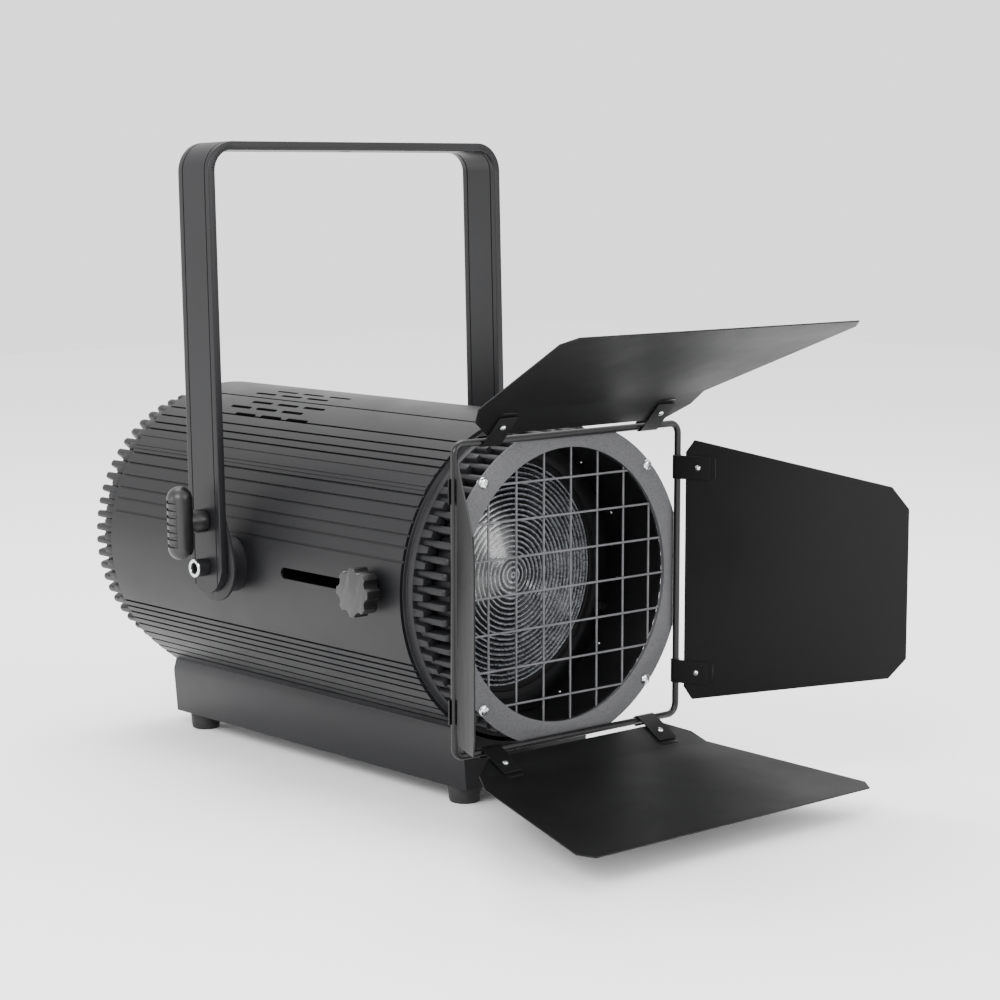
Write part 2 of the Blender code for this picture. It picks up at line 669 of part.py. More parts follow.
def make_tilt_handle(pivot):
    axle = empty("tilt_handle_axle", pivot, (-YOKE_HALF, 0, HANDLE_RISE))
    half = HANDLE_LENGTH / 2
    profile = []
    for step in range(7):
        angle = radians(90 - 15 * step)
        profile.append((HANDLE_R * cos(angle), half - HANDLE_R + HANDLE_R * sin(angle)))
    profile += [(radius, -along) for radius, along in reversed(profile)]
    profile[0], profile[-1] = (0, half), (0, -half)
    grip = turned("tilt_handle", profile, axle, (-HANDLE_REACH, 0, 0), RUBBER, 20, "Z")
    length = HANDLE_REACH - 0.0006
    stem = rod("handle_stem", HANDLE_STEM_R, length, (-length / 2 - 0.0006, 0, 0), "X", axle, sides=20)
    boolean(grip, stem, "UNION")
    end = YOKE_THICK - GAP
    thread = rod("handle_thread", 0.004, end + 0.004, ((end - 0.004) / 2, 0, 0), "X", axle, sides=16)
    boolean(grip, thread, "UNION")


# --- barn doors ----------------------------------------------------------------------------


def hinge(name, lamp, quarter, opened):
    # Local X runs along the wire, Y out along the leaf and Z away from the beam.
    turn = Matrix.Rotation(quarter * pi / 2, 4, "Y")
    out = Matrix.Translation((0, 0, DOOR_SIDE / 2))
    face = Matrix.Rotation(pi, 4, "Z") @ Matrix.Rotation(opened, 4, "X")
    return empty(name, lamp, matrix=turn @ out @ face)


def mirrored(right_half):
    return right_half + [(-x, y) for x, y in reversed(right_half)]


def sheet_middle():
    return -WIRE_R - GAP + SHEET / 2 + 0.0002


def make_leaf(name, lamp, quarter, opened, right_half, bend=0.0):
    axle = hinge(f"{name}_hinge", lamp, quarter, opened)
    leaf = outline(name, [mirrored(right_half)], SHEET, axle, (0, 0, sheet_middle()), FLAT, SHEET_BLACK)
    if bend:
        fold(leaf.data, BIG_BEND, bend)
    for number, side in enumerate((-1, 1), 1):
        make_clip(f"{name}_clip_{number}", axle, side * LEAF_CLIP / 2)


def fold(mesh, along, angle):
    # Bends the sheet towards the beam on a line square to Y.
    shape = bmesh.new()
    shape.from_mesh(mesh)
    everything = shape.verts[:] + shape.edges[:] + shape.faces[:]
    line = Vector((0, along, 0))
    bmesh.ops.bisect_plane(shape, geom=everything, plane_co=line, plane_no=(0, 1, 0))
    beyond = [vertex for vertex in shape.verts if vertex.co.y > along + 0.00001]
    turn = Matrix.Rotation(-angle, 3, "X")
    bmesh.ops.rotate(shape, cent=line, matrix=turn, verts=beyond)
    shape.to_mesh(mesh)
    shape.free()


def make_clip(name, axle, across):
    # A strap on the leaf's inner face that wraps the wire.
    inner = WIRE_R + GAP
    outer = inner + SHEET
    inner += 0.0001
    outer_face = -outer - 0.0001
    wrap_in = arc((0, 0), inner, 270, 60, 10)
    wrap_out = arc((0, 0), outer, 60, 270, 10)
    points = [(CLIP_LENGTH, -inner)] + wrap_in + wrap_out + [(CLIP_LENGTH, -outer)]
    outline(name, [points], CLIP_WIDE, axle, (across, 0, 0), ALONG_X, WIRE_BLACK)


def make_doors(lamp):
    big = [(0.0985, BIG_START), (0.1195, 0.026), (0.125, BIG_BEND)]
    big += [(0.1625, BIG_LENGTH - 0.0125), (0.1535, BIG_LENGTH)]
    small = [(0.1005, SMALL_START), (0.111, 0.0155)]
    small += [(0.0795, SMALL_LENGTH - 0.0145), (0.062, SMALL_LENGTH)]
    make_leaf("leaf_top", lamp, 0, TOP_OPEN, big, BIG_BEND_ANGLE)
    make_leaf("leaf_right", lamp, 1, RIGHT_OPEN, small)
    make_leaf("leaf_bottom", lamp, 2, BOTTOM_OPEN, big, BIG_BEND_ANGLE)
    make_leaf("leaf_left", lamp, 3, LEFT_OPEN, small)


# --- base and rear panel -------------------------------------------------------------------


def base_outline():
    # Section of the base: walls, a bevelled shoulder, a groove and a lip that meets the shell.
    saddle_r = SHELL_R + GAP
    lip_x = sqrt(saddle_r ** 2 - LIP_Z ** 2)
    bottom = -AXIS_HEIGHT
    left = [(-BASE_HALF, bottom), (-BASE_HALF - BASE_FLARE, bottom + 0.040)]
    left += [(-BASE_HALF - 0.001, bottom + 0.0485), (-BASE_HALF - 0.0005, bottom + 0.050)]
    left += [(-BASE_HALF - 0.003, bottom + 0.0515), (-BASE_HALF - 0.0065, bottom + 0.0545)]
    left += [(-lip_x - 0.0005, LIP_Z)]
    edge = asin(lip_x / saddle_r) * 180 / pi
    saddle = arc((0, 0), saddle_r, 270 - edge, 270 + edge, 24)
    return left + saddle + [(-x, z) for x, z in reversed(left)]


def make_base(lamp):
    middle_y = SHELL_FRONT + BASE_LENGTH / 2
    middle = (0, middle_y, 0)
    base = outline("base", [base_outline()], BASE_LENGTH, lamp, middle, UPRIGHT, SATIN_BLACK)
    inner_x = 2 * (BASE_HALF - BASE_WALL)
    ceiling = -(SHELL_R + GAP + BASE_WALL)
    height = AXIS_HEIGHT + ceiling + 0.01
    hollow = box("base_hollow", (inner_x, BASE_LENGTH - 2 * BASE_WALL, height),
                 (0, middle_y, -AXIS_HEIGHT - 0.01 + height / 2), lamp)
    boolean(base, hollow)
    cover_size = (inner_x - 2 * GAP, BASE_LENGTH - 2 * BASE_WALL - 2 * GAP, 0.002)
    box("base_cover", cover_size, (0, middle_y, -AXIS_HEIGHT + 0.001), lamp, SATIN_BLACK)
    for end, along in (("front", -1), ("rear", 1)):
        for side, name in ((-1, "left"), (1, "right")):
            x = side * (BASE_HALF - FOOT_INSET)
            y = middle_y + along * (BASE_LENGTH / 2 - FOOT_FROM_END)
            profile = [(0, -GAP), (FOOT_R, -GAP), (FOOT_TOE_R + 0.0008, 0.0015 - FOOT_HEIGHT)]
            profile += [(FOOT_TOE_R - 0.001, -FOOT_HEIGHT), (0, -FOOT_HEIGHT)]
            turned(f"foot_{end}_{name}", profile, lamp, (x, y, -AXIS_HEIGHT), RUBBER, 20, "Z")


def button_places():
    return [((number - 1.5) * BUTTON_PITCH, 0.022) for number in range(4)]


def make_rear_panel(lamp):
    back = SHELL_BACK + BAND_LENGTH + FIN_LENGTH
    outer = FIN_BORE_R - 2 * GAP
    loops = [circle(outer, 48)]
    loops += [circle(BUTTON_R + GAP, 12, spot) for spot in button_places()]
    middle = (0, back - PANEL_THICK / 2, 0)
    outline("rear_panel", loops, PANEL_THICK, lamp, middle, UPRIGHT, CAST_BLACK)
    face = back + GAP
    box("display", (0.070, 0.003, 0.026), (0, face + 0.0015, 0.048), lamp, WINDOW)
    for number, (x, z) in enumerate(button_places(), 1):
        axle = empty(f"button_{number}_axle", lamp, (x, back, z))
        profile = [(0, BUTTON_PROUD), (BUTTON_R - 0.0005, BUTTON_PROUD), (BUTTON_R, 0.0024)]
        profile += [(BUTTON_R, -0.004), (0, -0.004)]
        turned(f"button_{number}", profile, axle, (0, 0, 0), RUBBER, 12)
    inlet = box("power_inlet", (0.048, 0.006, 0.028), (-0.045, face + 0.003, -0.050), lamp, PLASTIC)
    boolean(inlet, box("inlet_well", (0.026, 0.010, 0.018), (-0.045, face + 0.007, -0.050), lamp))
    for number, (name, x) in enumerate((("signal_in", 0.022), ("signal_out", 0.060))):
        profile = [(0.0125, 0.006), (0.0125, 0), (0.0085, 0), (0.0085, 0.006)]
        turned(name, profile, lamp, (x, face, -0.050), BRIGHT, 24)


def build():
    middle_y = SHELL_FRONT + BASE_LENGTH / 2
    lamp = empty("lamp_axis", None, (0, -middle_y, AXIS_HEIGHT))
    make_shell(lamp)
    make_casting("front_casting", lamp, SHELL_FRONT, -1, with_bosses=True)
    make_casting("rear_casting", lamp, SHELL_BACK, 1, with_bosses=False)
    make_bezel(lamp)
    make_door_frame(lamp)
    make_grille(lamp)
    make_tunnel(lamp)
    make_carriage(lamp)
    make_engine(lamp)
    make_pivots(lamp)
    make_yoke(lamp)
    make_doors(lamp)
    make_base(lamp)
    make_rear_panel(lamp)


build()
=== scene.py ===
import bpy
import json
from math import cos, pi, radians, sin, sqrt
from mathutils import Matrix, Vector


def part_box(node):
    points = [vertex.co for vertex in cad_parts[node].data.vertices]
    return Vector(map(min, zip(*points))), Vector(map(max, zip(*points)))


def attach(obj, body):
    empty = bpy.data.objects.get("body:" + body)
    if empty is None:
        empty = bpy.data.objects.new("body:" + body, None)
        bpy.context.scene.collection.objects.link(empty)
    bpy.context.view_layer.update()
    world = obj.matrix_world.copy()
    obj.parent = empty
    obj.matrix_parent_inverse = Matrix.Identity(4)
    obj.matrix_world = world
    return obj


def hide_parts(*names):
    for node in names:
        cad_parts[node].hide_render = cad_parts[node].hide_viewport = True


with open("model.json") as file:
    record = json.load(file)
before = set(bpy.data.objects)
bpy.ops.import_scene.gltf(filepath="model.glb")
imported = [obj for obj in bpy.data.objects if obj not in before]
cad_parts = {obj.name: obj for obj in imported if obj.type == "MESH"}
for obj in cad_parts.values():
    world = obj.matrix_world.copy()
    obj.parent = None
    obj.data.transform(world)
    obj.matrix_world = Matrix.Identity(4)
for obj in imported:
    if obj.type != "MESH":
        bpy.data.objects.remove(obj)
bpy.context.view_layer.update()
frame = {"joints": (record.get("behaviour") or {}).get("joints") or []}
mm = 0.001
# How a shape made along Z turns to lie along another axis.
axisTurns = {"X": (0, pi / 2, 0), "Y": (-pi / 2, 0, 0), "Z": (0, 0, 0)}

# The barrel's own numbers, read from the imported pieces, that everything else hangs on.
shellLow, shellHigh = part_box("shell")
frontLow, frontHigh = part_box("front_casting")
backLow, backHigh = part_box("rear_casting")
wireLow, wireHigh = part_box("door_frame")
axisZ = (shellLow[2] + shellHigh[2]) / 2
shellRadius = (shellHigh[0] - shellLow[0]) / 2
wireY = (wireLow[1] + wireHigh[1]) / 2


# Small helpers.

def deselectAll():
    if bpy.context.object and bpy.context.object.mode != "OBJECT":
        bpy.ops.object.mode_set(mode="OBJECT")
    bpy.ops.object.select_all(action="DESELECT")


def activate(*pieces):
    deselectAll()
    for piece in pieces:
        piece.select_set(True)
    bpy.context.view_layer.objects.active = pieces[0]


def named(name):
    piece = bpy.context.object
    piece.name = name
    piece.data.name = name
    return piece


def applyPlace(piece):
    activate(piece)
    bpy.ops.object.transform_apply(location=True, rotation=True, scale=True)
    return piece


def applyModifier(piece, kind, **settings):
    activate(piece)
    modifier = piece.modifiers.new(kind.lower(), kind)
    for key, value in settings.items():
        setattr(modifier, key, value)
    bpy.ops.object.modifier_apply(modifier=modifier.name)
    return piece


def middleOf(low, high):
    return [(a + b) / 2 for a, b in zip(low, high)]


def cube(name, low, high):
    deselectAll()
    bpy.ops.mesh.primitive_cube_add(size=1, location=middleOf(low, high))
    piece = named(name)
    piece.scale = [b - a for a, b in zip(low, high)]
    return applyPlace(piece)


def cylinder(name, radius, length, place=(0, 0, 0), axis="Z", sides=48):
    deselectAll()
    bpy.ops.mesh.primitive_cylinder_add(
        vertices=sides, radius=radius, depth=length, location=place, rotation=axisTurns[axis]
    )
    return applyPlace(named(name))


def editStart(piece, kind="FACE"):
    activate(piece)
    bpy.ops.object.mode_set(mode="EDIT")
    bpy.ops.mesh.select_mode(type=kind)
    bpy.ops.mesh.select_all(action="DESELECT")
    bpy.ops.object.mode_set(mode="OBJECT")


def pick(piece, test, kind="FACE"):
    # Selects the faces, edges or points whose middle passes the test, and stays in edit mode.
    editStart(piece, kind)
    mesh = piece.data
    if kind == "FACE":
        for face in mesh.polygons:
            face.select = bool(test(face.center, face.normal))
    elif kind == "EDGE":
        for edge in mesh.edges:
            a, b = (mesh.vertices[i].co for i in edge.vertices)
            edge.select = bool(test((a + b) / 2, b - a))
    else:
        for point in mesh.vertices:
            point.select = bool(test(point.co, point.normal))
    bpy.ops.object.mode_set(mode="EDIT")


def editAll(piece):
    activate(piece)
    bpy.ops.object.mode_set(mode="EDIT")
    bpy.ops.mesh.select_all(action="SELECT")


def editEnd():
    bpy.ops.object.mode_set(mode="OBJECT")


def cut(piece, tools, operation="DIFFERENCE"):
    for tool in tools:
        applyModifier(piece, "BOOLEAN", object=tool, operation=operation, solver="EXACT")
        bpy.data.objects.remove(tool)
    return piece


def softenEdges(piece, width, segments=2, angle=30):
    return applyModifier(
        piece, "BEVEL", width=width, segments=segments, limit_method="ANGLE",
        angle_limit=radians(angle), harden_normals=False, use_clamp_overlap=True,
    )


def tidyMesh(piece, distance=0.00001):
    editAll(piece)
    bpy.ops.mesh.remove_doubles(threshold=distance)
    bpy.ops.mesh.normals_make_consistent(inside=False)
    editEnd()
    return piece


def fromCad(name, node):
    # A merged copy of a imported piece, with its flat faces made whole again.
    source = bpy.data.objects[node]
    piece = bpy.data.objects.new(name, source.data.copy())
    bpy.context.scene.collection.objects.link(piece)
    piece.data.materials.clear()
    editAll(piece)
    bpy.ops.mesh.remove_doubles(threshold=0.000005)
    bpy.ops.mesh.dissolve_limited(angle_limit=radians(1))
    editEnd()
    return piece


def joined(name, pieces):
    activate(*pieces)
    if len(pieces) > 1:
        bpy.ops.object.join()
    return named(name)


def copyOf(piece, name):
    twin = piece.copy()
    twin.data = piece.data.copy()
    twin.name = name
    bpy.context.scene.collection.objects.link(twin)
    return twin


def moved(piece, matrix):
    piece.matrix_world = matrix @ piece.matrix_world
    return applyPlace(piece)


def aroundAxis(piece, name, count, start=0.0, skip=()):
    # Copies of one shape about the optical axis, each with its own mesh, joined as one piece.
    centre = Matrix.Translation((0, 0, axisZ))
    copies = []
    for number in range(count):
        if number in skip:
            continue
        turn = Matrix.Rotation(start + 2 * pi * number / count, 4, "Y")
        twin = copyOf(piece, f"{name}Copy")
        twin.matrix_world = centre @ turn @ centre.inverted()
        copies.append(twin)
    bpy.data.objects.remove(piece)
    activate(*copies)
    bpy.ops.object.transform_apply(location=True, rotation=True, scale=True)
    return joined(name, copies)


def turned(name, profile, sides=96, place=(0, 0, 0), axis="Z", closed=False):
    # Extrudes a ring of points down a profile of (radius, distance along the axis).
    deselectAll()
    radius, along = profile[0]
    tiny = 0.00002
    bpy.ops.mesh.primitive_circle_add(
        vertices=sides, radius=max(radius, tiny), fill_type="NOTHING", location=(0, 0, along)
    )
    piece = applyPlace(named(name))
    editAll(piece)
    now = max(radius, tiny)
    for radius, further in profile[1:]:
        wanted = max(radius, tiny)
        bpy.ops.mesh.extrude_edges_move(TRANSFORM_OT_translate={"value": (0, 0, further - along)})
        scale = wanted / now
        bpy.ops.transform.resize(value=(scale, scale, 1), center_override=(0, 0, further))
        now, along = wanted, further
    bpy.ops.mesh.select_all(action="SELECT")
    bpy.ops.mesh.remove_doubles(threshold=0.00001 if closed else 0.00005)
    bpy.ops.mesh.normals_make_consistent(inside=False)
    editEnd()
    piece.rotation_euler = axisTurns[axis]
    piece.location = place
    return applyPlace(piece)


def finishPiece(piece, material, body, replaces=(), smoothAngle=35):
    applyPlace(piece)
    piece.data.materials.clear()
    piece.data.materials.append(material)
    activate(piece)
    bpy.ops.object.shade_smooth_by_angle(angle=radians(smoothAngle))
    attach(piece, body)
    if replaces:
        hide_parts(*replaces)
    return piece


# Materials.

def colour(code):
    parts = [int(code[i:i + 2], 16) / 255 for i in (1, 3, 5)]
    linear = [p / 12.92 if p <= 0.04045 else ((p + 0.055) / 1.055) ** 2.4 for p in parts]
    return (*linear, 1.0)


def addNode(tree, kind, links=None, **settings):
    # Sets plain values by name on the node or its sockets, and links the rest.
    made = tree.nodes.new(kind)
    for key, value in settings.items():
        setattr(made, key, value)
    for socket, value in (links or {}).items():
        if isinstance(value, bpy.types.NodeSocket):
            tree.links.new(value, made.inputs[socket])
        else:
            made.inputs[socket].default_value = value
    return made


def startMaterial(name):
    material = bpy.data.materials.new(name)
    material.use_nodes = True
    tree = material.node_tree
    shader = tree.nodes["Principled BSDF"]
    place = addNode(tree, "ShaderNodeTexCoord").outputs["Object"]
    return material, tree, shader, place


def noise(tree, place, sizeMm, detail, roughness=0.5):
    return addNode(tree, "ShaderNodeTexNoise", {
        "Vector": place, "Scale": 1 / (sizeMm * mm), "Detail": detail, "Roughness": roughness,
    }).outputs["Fac"]


def tintOf(tree, factor, look, ends=(0, 1)):
    # Runs from the look's dark tone to its light one as the factor goes between the two ends.
    ramp = addNode(tree, "ShaderNodeValToRGB", {"Fac": factor})
    for element, position, tone in zip(ramp.color_ramp.elements, ends, ("dark", "light")):
        element.position = position
        element.color = colour(look[tone])
    return ramp.outputs["Color"]


def setRoughness(tree, shader, source, limits, span=(0, 1)):
    ranged = addNode(tree, "ShaderNodeMapRange", {
        "Value": source, "From Min": span[0], "From Max": span[1], "To Min": limits[0],
        "To Max": limits[1],
    })
    tree.links.new(ranged.outputs["Result"], shader.inputs["Roughness"])


def setBump(tree, shader, height, strength, depthMm):
    bump = addNode(tree, "ShaderNodeBump", {
        "Height": height, "Strength": strength, "Distance": depthMm * mm,
    })
    tree.links.new(bump.outputs["Normal"], shader.inputs["Normal"])


def coatedMetal(name, look):
    # Paint or powder on metal: a tint that drifts slowly, with a fine orange-peel grain and speckle.
    material, tree, shader, place = startMaterial(name)
    drift = noise(tree, place, look["driftMm"], 3, 0.6)
    grain = noise(tree, place, look["grainMm"], 2)
    speckle = addNode(tree, "ShaderNodeMixRGB", {
        "Fac": look["speckle"], "Color1": tintOf(tree, drift, look, (0.3, 0.7)), "Color2": grain,
    }, blend_type="SOFT_LIGHT")
    tree.links.new(speckle.outputs["Color"], shader.inputs["Base Color"])
    setRoughness(tree, shader, drift, look["roughness"], (0.3, 0.7))
    setBump(tree, shader, grain, look["bump"], look["depthMm"])
    shader.inputs["Specular IOR Level"].default_value = look["specular"]
    return material


# Satin paint on an aluminium extrusion: dark grey with broad soft highlights along its length.
barrelPaint = coatedMetal("satinPaintedExtrusion", {
    "dark": "#0e0e10", "light": "#121214", "driftMm": 60, "grainMm": 0.9, "speckle": 0.15,
    "roughness": (0.38, 0.46), "bump": 0.18, "depthMm": 0.08, "specular": 0.27,
})
# Enamel over sand-cast aluminium: a touch lighter, slightly pitted, and duller than the barrel.
castEnamel = coatedMetal("enamelOnCastAluminium", {
    "dark": "#131315", "light": "#1a1a1c", "driftMm": 25, "grainMm": 1.3, "speckle": 0.25,
    "roughness": (0.42, 0.55), "bump": 0.35, "depthMm": 0.12, "specular": 0.25,
})
# Sprayed and baked epoxy powder: mid grey with a dry sand texture, drawn a little coarse to show.
greyPowder = coatedMetal("texturedEpoxyPowder", {
    "dark": "#515153", "light": "#555557", "driftMm": 40, "grainMm": 0.7, "speckle": 0.9,
    "roughness": (0.62, 0.72), "bump": 0.7, "depthMm": 0.25, "specular": 0.18,
})
# Heat-resisting matt paint on rolled sheet: nearly black, flat, with a faint sheen.
sheetPaint = coatedMetal("mattPaintedSheetSteel", {
    "dark": "#070708", "light": "#0a0a0b", "driftMm": 70, "grainMm": 0.8, "speckle": 0.12,
    "roughness": (0.42, 0.52), "bump": 0.12, "depthMm": 0.06, "specular": 0.20,
})
# Dipped enamel on drawn wire: black and glossy enough to carry a thin bright line.
wireEnamel = coatedMetal("enamelOnSteelWire", {
    "dark": "#0c0c0d", "light": "#131314", "driftMm": 20, "grainMm": 1.5, "speckle": 0.1,
    "roughness": (0.26, 0.34), "bump": 0.1, "depthMm": 0.05, "specular": 0.32,
})
# Drawn and welded mesh wire, thinly enamelled: dark grey and shinier on its crowns.
meshEnamel = coatedMetal("enamelOnWeldedMesh", {
    "dark": "#525255", "light": "#636366", "driftMm": 15, "grainMm": 1.0, "speckle": 0.2,
    "roughness": (0.3, 0.4), "bump": 0.15, "depthMm": 0.05, "specular": 0.32,
})
# Anodised yoke bar: even dark grey, finely matt, with soft highlights down its length.
anodisedBar = coatedMetal("anodisedAluminiumBar", {
    "dark": "#111113", "light": "#161618", "driftMm": 80, "grainMm": 0.6, "speckle": 0.15,
    "roughness": (0.36, 0.44), "bump": 0.12, "depthMm": 0.05, "specular": 0.27,
})
# The base's lower channel is painted with the barrel; its tone is set a little lighter as painted light,
# because its flat sides read a little greyer.
baseLitTonePaint = coatedMetal("satinPaintedChannel", {
    "dark": "#121214", "light": "#17171a", "driftMm": 90, "grainMm": 0.8, "speckle": 0.15,
    "roughness": (0.42, 0.5), "bump": 0.15, "depthMm": 0.06, "specular": 0.25,
})
# Blackened liner sheet inside the snout: dull, so stray light dies on it.
linerPaint = coatedMetal("blackenedLinerSheet", {
    "dark": "#080809", "light": "#0d0d0e", "driftMm": 30, "grainMm": 1.0, "speckle": 0.2,
    "roughness": (0.5, 0.62), "bump": 0.2, "depthMm": 0.08, "specular": 0.18,
})


def moulded(name, look):
    # Moulded polymer: an even body colour with a spark-eroded surface from its mould.
    material, tree, shader, place = startMaterial(name)
    grain = addNode(tree, "ShaderNodeTexVoronoi", {"Vector": place, "Scale": 1 / (look["grainMm"] * mm)})
    cloud = noise(tree, place, look["cloudMm"], 3)
    tree.links.new(tintOf(tree, cloud, look), shader.inputs["Base Color"])
    setRoughness(tree, shader, cloud, look["roughness"], (0.3, 0.7))
    setBump(tree, shader, grain.outputs["Distance"], look["bump"], 0.05)
    shader.inputs["IOR"].default_value = look["ior"]
    return material


# Glass-filled nylon, injection moulded: black with a low, slightly mottled gloss.
blackNylon = moulded("injectionMouldedNylon", {
    "dark": "#0a0a0a", "light": "#0d0d0e", "cloudMm": 8, "grainMm": 0.7, "bump": 0.25,
    "roughness": (0.32, 0.42), "ior": 1.53,
})
# Compression-moulded rubber: dead matt and faintly grey where it is handled.
blackRubber = moulded("compressionMouldedRubber", {
    "dark": "#090909", "light": "#0e0e0e", "cloudMm": 6, "grainMm": 0.9, "bump": 0.4,
    "roughness": (0.6, 0.75), "ior": 1.52,
})
# Soft-touch handle moulding, smoother than the feet so that its rounded ends catch the light.
handleRubber = moulded("softTouchHandleMoulding", {
    "dark": "#080808", "light": "#0b0b0c", "cloudMm": 10, "grainMm": 0.8, "bump": 0.2,
    "roughness": (0.34, 0.44), "ior": 1.52,
})


def bareMetal(name, look):
    # Bare or plated metal with fine tool lines; the lines are stretched along one axis.
    material, tree, shader, place = startMaterial(name)
    lines = addNode(tree, "ShaderNodeMapping", {"Vector": place, "Scale": look["stretch"]})
    scratch = noise(tree, lines.outputs["Vector"], look["grainMm"], 4)
    tree.links.new(tintOf(tree, scratch, look), shader.inputs["Base Color"])
    setRoughness(tree, shader, scratch, look["roughness"])
    setBump(tree, shader, scratch, 0.15, 0.03)
    shader.inputs["Metallic"].default_value = 1.0
    return material


# Bright zinc plate on the screws: pale, glossy and a little uneven.
brightZinc = bareMetal("brightZincPlate", {
    "dark": "#b9bbbd", "light": "#e2e3e4", "grainMm": 1.5, "stretch": (1, 1, 1), "roughness": (0.12, 0.25),
})
# Ground silver-steel rod, with marks running round it.
groundSteel = bareMetal("groundSilverSteel", {
    "dark": "#8f9296", "light": "#bcbfc3", "grainMm": 0.8, "stretch": (0.2, 4, 0.2),
    "roughness": (0.22, 0.34),
})
# Plain milled aluminium plate and fins, left bare inside the body.
milledAluminium = bareMetal("milledAluminium", {
    "dark": "#9a9da1", "light": "#c4c6c9", "grainMm": 1.2, "stretch": (1, 1, 5), "roughness": (0.3, 0.45),
})
# Nickel on the signal sockets' shells.
nickelPlate = bareMetal("satinNickelPlate", {
    "dark": "#8d8b85", "light": "#b5b2aa", "grainMm": 1.0, "stretch": (1, 1, 1), "roughness": (0.24, 0.34),
})


def pressedGlass():
    # Pressed borosilicate over a dark housing, coloured with painted light: its dark tone is painted shade
    # for the housing seen through it and for each valley, and its white tone is a painted highlight on each
    # crest, broken up by painted sparkle from a stippled skin that, with a ripple, also bumps the surface.
    look = {"dark": "#0c0d0f", "light": "#b4b9be", "ringMm": 4.4, "rippleMm": 5.0, "stippleMm": 1.7,
            "roughness": 0.12}
    material, tree, shader, place = startMaterial("pressedFresnelGlass")
    centred = addNode(tree, "ShaderNodeMapping", {"Vector": place, "Location": (0, 0, -axisZ)})
    # A ring texture repeats every 0.1 pi of its own units.
    ringShadeAndHighlight = addNode(tree, "ShaderNodeTexWave", {
        "Vector": centred.outputs["Vector"], "Scale": 0.1 * pi / (look["ringMm"] * mm),
        "Distortion": 1.0, "Detail": 2,
    }, wave_type="RINGS", rings_direction="Y")
    stippleAndPaintedSparkle = noise(tree, place, look["stippleMm"], 3, 0.7)
    ripple = noise(tree, place, look["rippleMm"], 2)
    # The colour is painted light: painted shade in the ring valleys and painted highlight on the crests,
    # multiplied by the stipple's painted sparkle.
    paintedRingLight = addNode(tree, "ShaderNodeMath", {0: ringShadeAndHighlight.outputs["Fac"], 1: stippleAndPaintedSparkle}, operation="MULTIPLY")
    tree.links.new(tintOf(tree, paintedRingLight.outputs["Value"], look, (0.26, 0.66)), shader.inputs["Base Color"])
    coarse = addNode(tree, "ShaderNodeBump", {"Height": ripple, "Strength": 0.2,
            "Distance": 0.5 * mm})
    fine = addNode(tree, "ShaderNodeBump", {"Height": stippleAndPaintedSparkle, "Strength": 0.5,
            "Distance": 0.4 * mm, "Normal": coarse.outputs["Normal"]})
    tree.links.new(fine.outputs["Normal"], shader.inputs["Normal"])
    shader.inputs["Roughness"].default_value = look["roughness"]
    shader.inputs["Transmission Weight"].default_value = 0.35
    shader.inputs["IOR"].default_value = 1.52
    shader.inputs["Coat Weight"].default_value = 0.5
    shader.inputs["Coat Roughness"].default_value = 0.08
    return material


lensGlass = pressedGlass()


def plainGloss(name, code, roughness, ior=1.5, speckMm=2.0):
    # A smooth window or chip face; only its roughness drifts.
    material, tree, shader, place = startMaterial(name)
    smear = noise(tree, place, speckMm, 2)
    setRoughness(tree, shader, smear, (roughness * 0.8, roughness * 1.3))
    shader.inputs["Base Color"].default_value = colour(code)
    shader.inputs["IOR"].default_value = ior
    return material


# Acrylic display window: dark blue-black and glossy, lightly smeared.
displayAcrylic = plainGloss("smokedAcrylicWindow", "#0a1018", 0.08, 1.49, 12)
# Phosphor gel over the light chips: yellow, slightly wet.
phosphorGel = plainGloss("phosphorGel", "#d9b53a", 0.35, 1.45, 3)
# White solder mask of the board under it.
boardMask = plainGloss("whiteSolderMask", "#d9dad6", 0.4, 1.5, 4)

print("materials made")


# Camera, floor and light.

